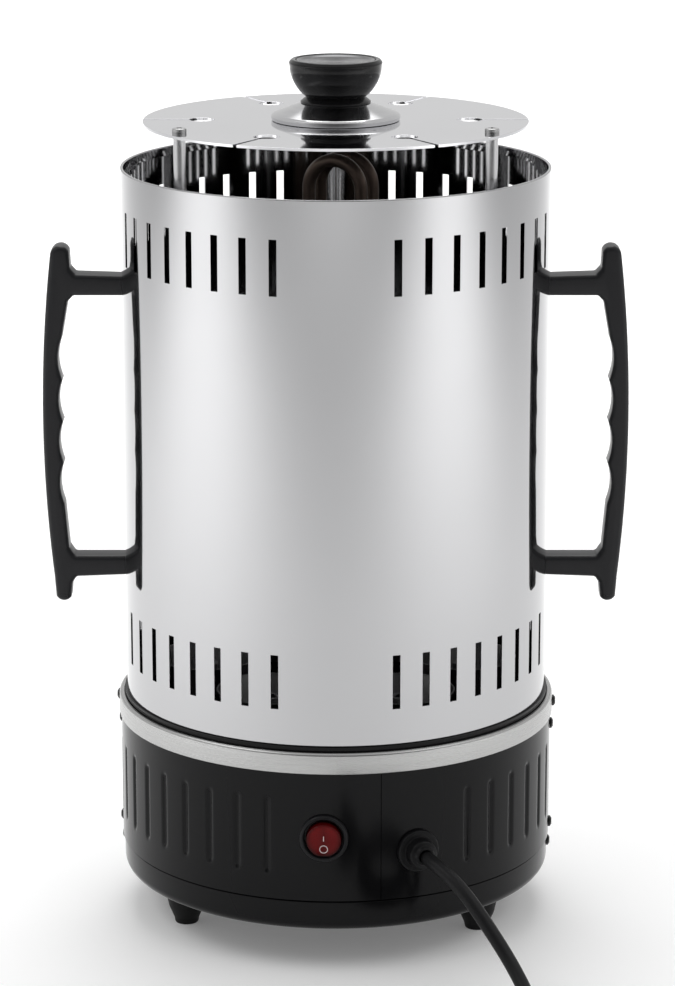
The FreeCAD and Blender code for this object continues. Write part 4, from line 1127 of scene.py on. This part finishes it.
def rocker_mesh():
    """The rocker as a round plug with a shaped face and rounded rim."""
    sides, rings, full, bend = 96, 22, 9.3, 1.4
    vertices = []
    for ring in range(rings + 1):
        reach = full * ring / rings
        edge = max(0.0, (reach - full + bend) / bend)
        shrink = 1 - 0.045 * edge ** 2
        drop = 1.1 * (1 - sqrt(max(0.0, 1 - edge ** 2)))
        for x, y, _ in (around(reach, a) for a in turns(sides)):
            vertices.append((x * shrink, y * shrink, rocker_height(x, y) - drop))
    vertices += [around(reach, a, z) for z, reach in ((0, 9.4), (-4.4, 8.9)) for a in turns(sides)]
    faces = strips(sides, rings + 3) + [cap(rings + 2, sides)]
    return mesh_of([Vector(v) * MM for v in vertices], faces, 60)


def printed(outer, inner=None):
    """A thin printed patch on the rocker's face, or a ring between two outlines."""
    count, low, high = len(outer), -0.05, 0.06
    lines = [(outer, low), (outer, high)] + ([(inner, high), (inner, low)] if inner else [])
    vertices = [(x, y, rocker_height(x, y) + lift) for line, lift in lines for x, y in line]
    faces = strips(count, len(lines))
    faces += strip(3 * count, 0, count) if inner else [cap(0, count), cap(1, count)]
    return mesh_of([Vector(v) * MM for v in vertices], faces)


# ---- drive
class GRILL_OT_drive(bpy.types.Operator):
    """Spindles, gears, cups and motor"""
    bl_idname = "grill.drive"
    bl_label = "Skewer drive"

    def execute(self, context):
        dress("gear", "sun_gear", "gear_hub", "motor_pinion", "gear_plate",
              *[f"skewer_pinion_{k + 1}" for k in range(SKEWERS)])
        dress("cup", *[f"drip_cup_{k + 1}" for k in range(SKEWERS)])
        dress("motor", "drive_motor")
        dress("screw", "motor_screws")
        dress("dark screw", "side_screws")
        dress("block", "terminal_block")
        return {"FINISHED"}


# ---- stage
class GRILL_OT_stage(bpy.types.Operator):
    """Plain pale floor and soft studio light"""
    bl_idname = "grill.stage"
    bl_label = "Stage"

    def execute(self, context):
        mesh = bpy.data.meshes.new("Floor")
        mesh.from_pydata([(-30, -30, 0), (30, -30, 0), (30, 30, 0), (-30, 30, 0)], [],
                         [(0, 1, 2, 3)])
        floor = add("Floor", mesh)
        shader = Shader("Floor", colours().floor, 0.9, Emission_Color=(1, 1, 1, 1),
                        Emission_Strength=0.14)
        mesh.materials.append(shader.material)
        world = bpy.data.worlds.new("Studio")
        world.use_nodes = True
        surroundings = NodeTree(world.node_tree)
        way = surroundings.axes(surroundings.node("ShaderNodeTexCoord", {}, {}, "Generated"))
        shade = (way[1] * -2.2 - 1.1).clamped()
        background = surroundings.tree.nodes["Background"]
        background.inputs["Color"].default_value = (1, 1, 1, 1)
        surroundings.feed(background.inputs["Strength"], 0.70 - shade * 0.62)
        context.scene.world = world
        context.scene.view_settings.view_transform = "Standard"
        lights = (
            ("Back wash", (0, 2.9, 2.2), (0, 2.8, 0), 1.5, 5.0, 110, 40),
            ("Left wash", (-2.55, -0.82, 1.1), (-2.5, -0.804, 0), 1.5, 3.9, 95, 24),
            ("Right wash", (2.45, -1.37, 1.1), (2.41, -1.348, 0), 1.3, 3.9, 95, 21),
            ("Front fill", (0, -2.8, 2.0), (0, -2.75, 0), 1.2, 1.2, 80, 3),
        )
        for name, spot, target, width, height, spread, power in lights:
            data = bpy.data.lights.new(name, "AREA")
            data.shape = "RECTANGLE"
            data.size = width
            data.size_y = height
            data.spread = radians(spread)
            data.energy = power
            light = add(name, data)
            light.location = spot
            aim = Vector(target) - Vector(spot)
            light.rotation_euler = aim.to_track_quat("-Z", "Y").to_euler()
            light.visible_camera = False
        return {"FINISHED"}


class GRILL_PT_panel(bpy.types.Panel):
    """Lists the grill's pieces"""
    bl_label = "Skewer grill"
    bl_idname = "GRILL_PT_panel"
    bl_space_type = "VIEW_3D"
    bl_region_type = "UI"
    bl_category = "Grill"

    def draw(self, context):
        for group in (sizes(), colours()):
            for name in group.__annotations__:
                self.layout.prop(group, name)
        for operator in OPERATORS:
            self.layout.operator(operator.bl_idname)


OPERATORS = (
    GRILL_OT_camera, GRILL_OT_cord, GRILL_OT_casing, GRILL_OT_handles, GRILL_OT_disc,
    GRILL_OT_knob, GRILL_OT_posts, GRILL_OT_heater, GRILL_OT_deck, GRILL_OT_ring,
    GRILL_OT_band, GRILL_OT_pan, GRILL_OT_switch, GRILL_OT_drive, GRILL_OT_stage,
)
CLASSES = (GrillSizes, GrillColours, *OPERATORS, GRILL_PT_panel)


def register():
    for cls in CLASSES:
        bpy.utils.register_class(cls)
    bpy.types.Scene.grill_sizes = PointerProperty(type=GrillSizes)
    bpy.types.Scene.grill_colours = PointerProperty(type=GrillColours)


def unregister():
    del bpy.types.Scene.grill_colours
    del bpy.types.Scene.grill_sizes
    for cls in reversed(CLASSES):
        bpy.utils.unregister_class(cls)


def main():
    register()
    for operator in OPERATORS:
        getattr(bpy.ops.grill, operator.bl_idname.split(".")[1])()


if __name__ == "__main__":
    main()
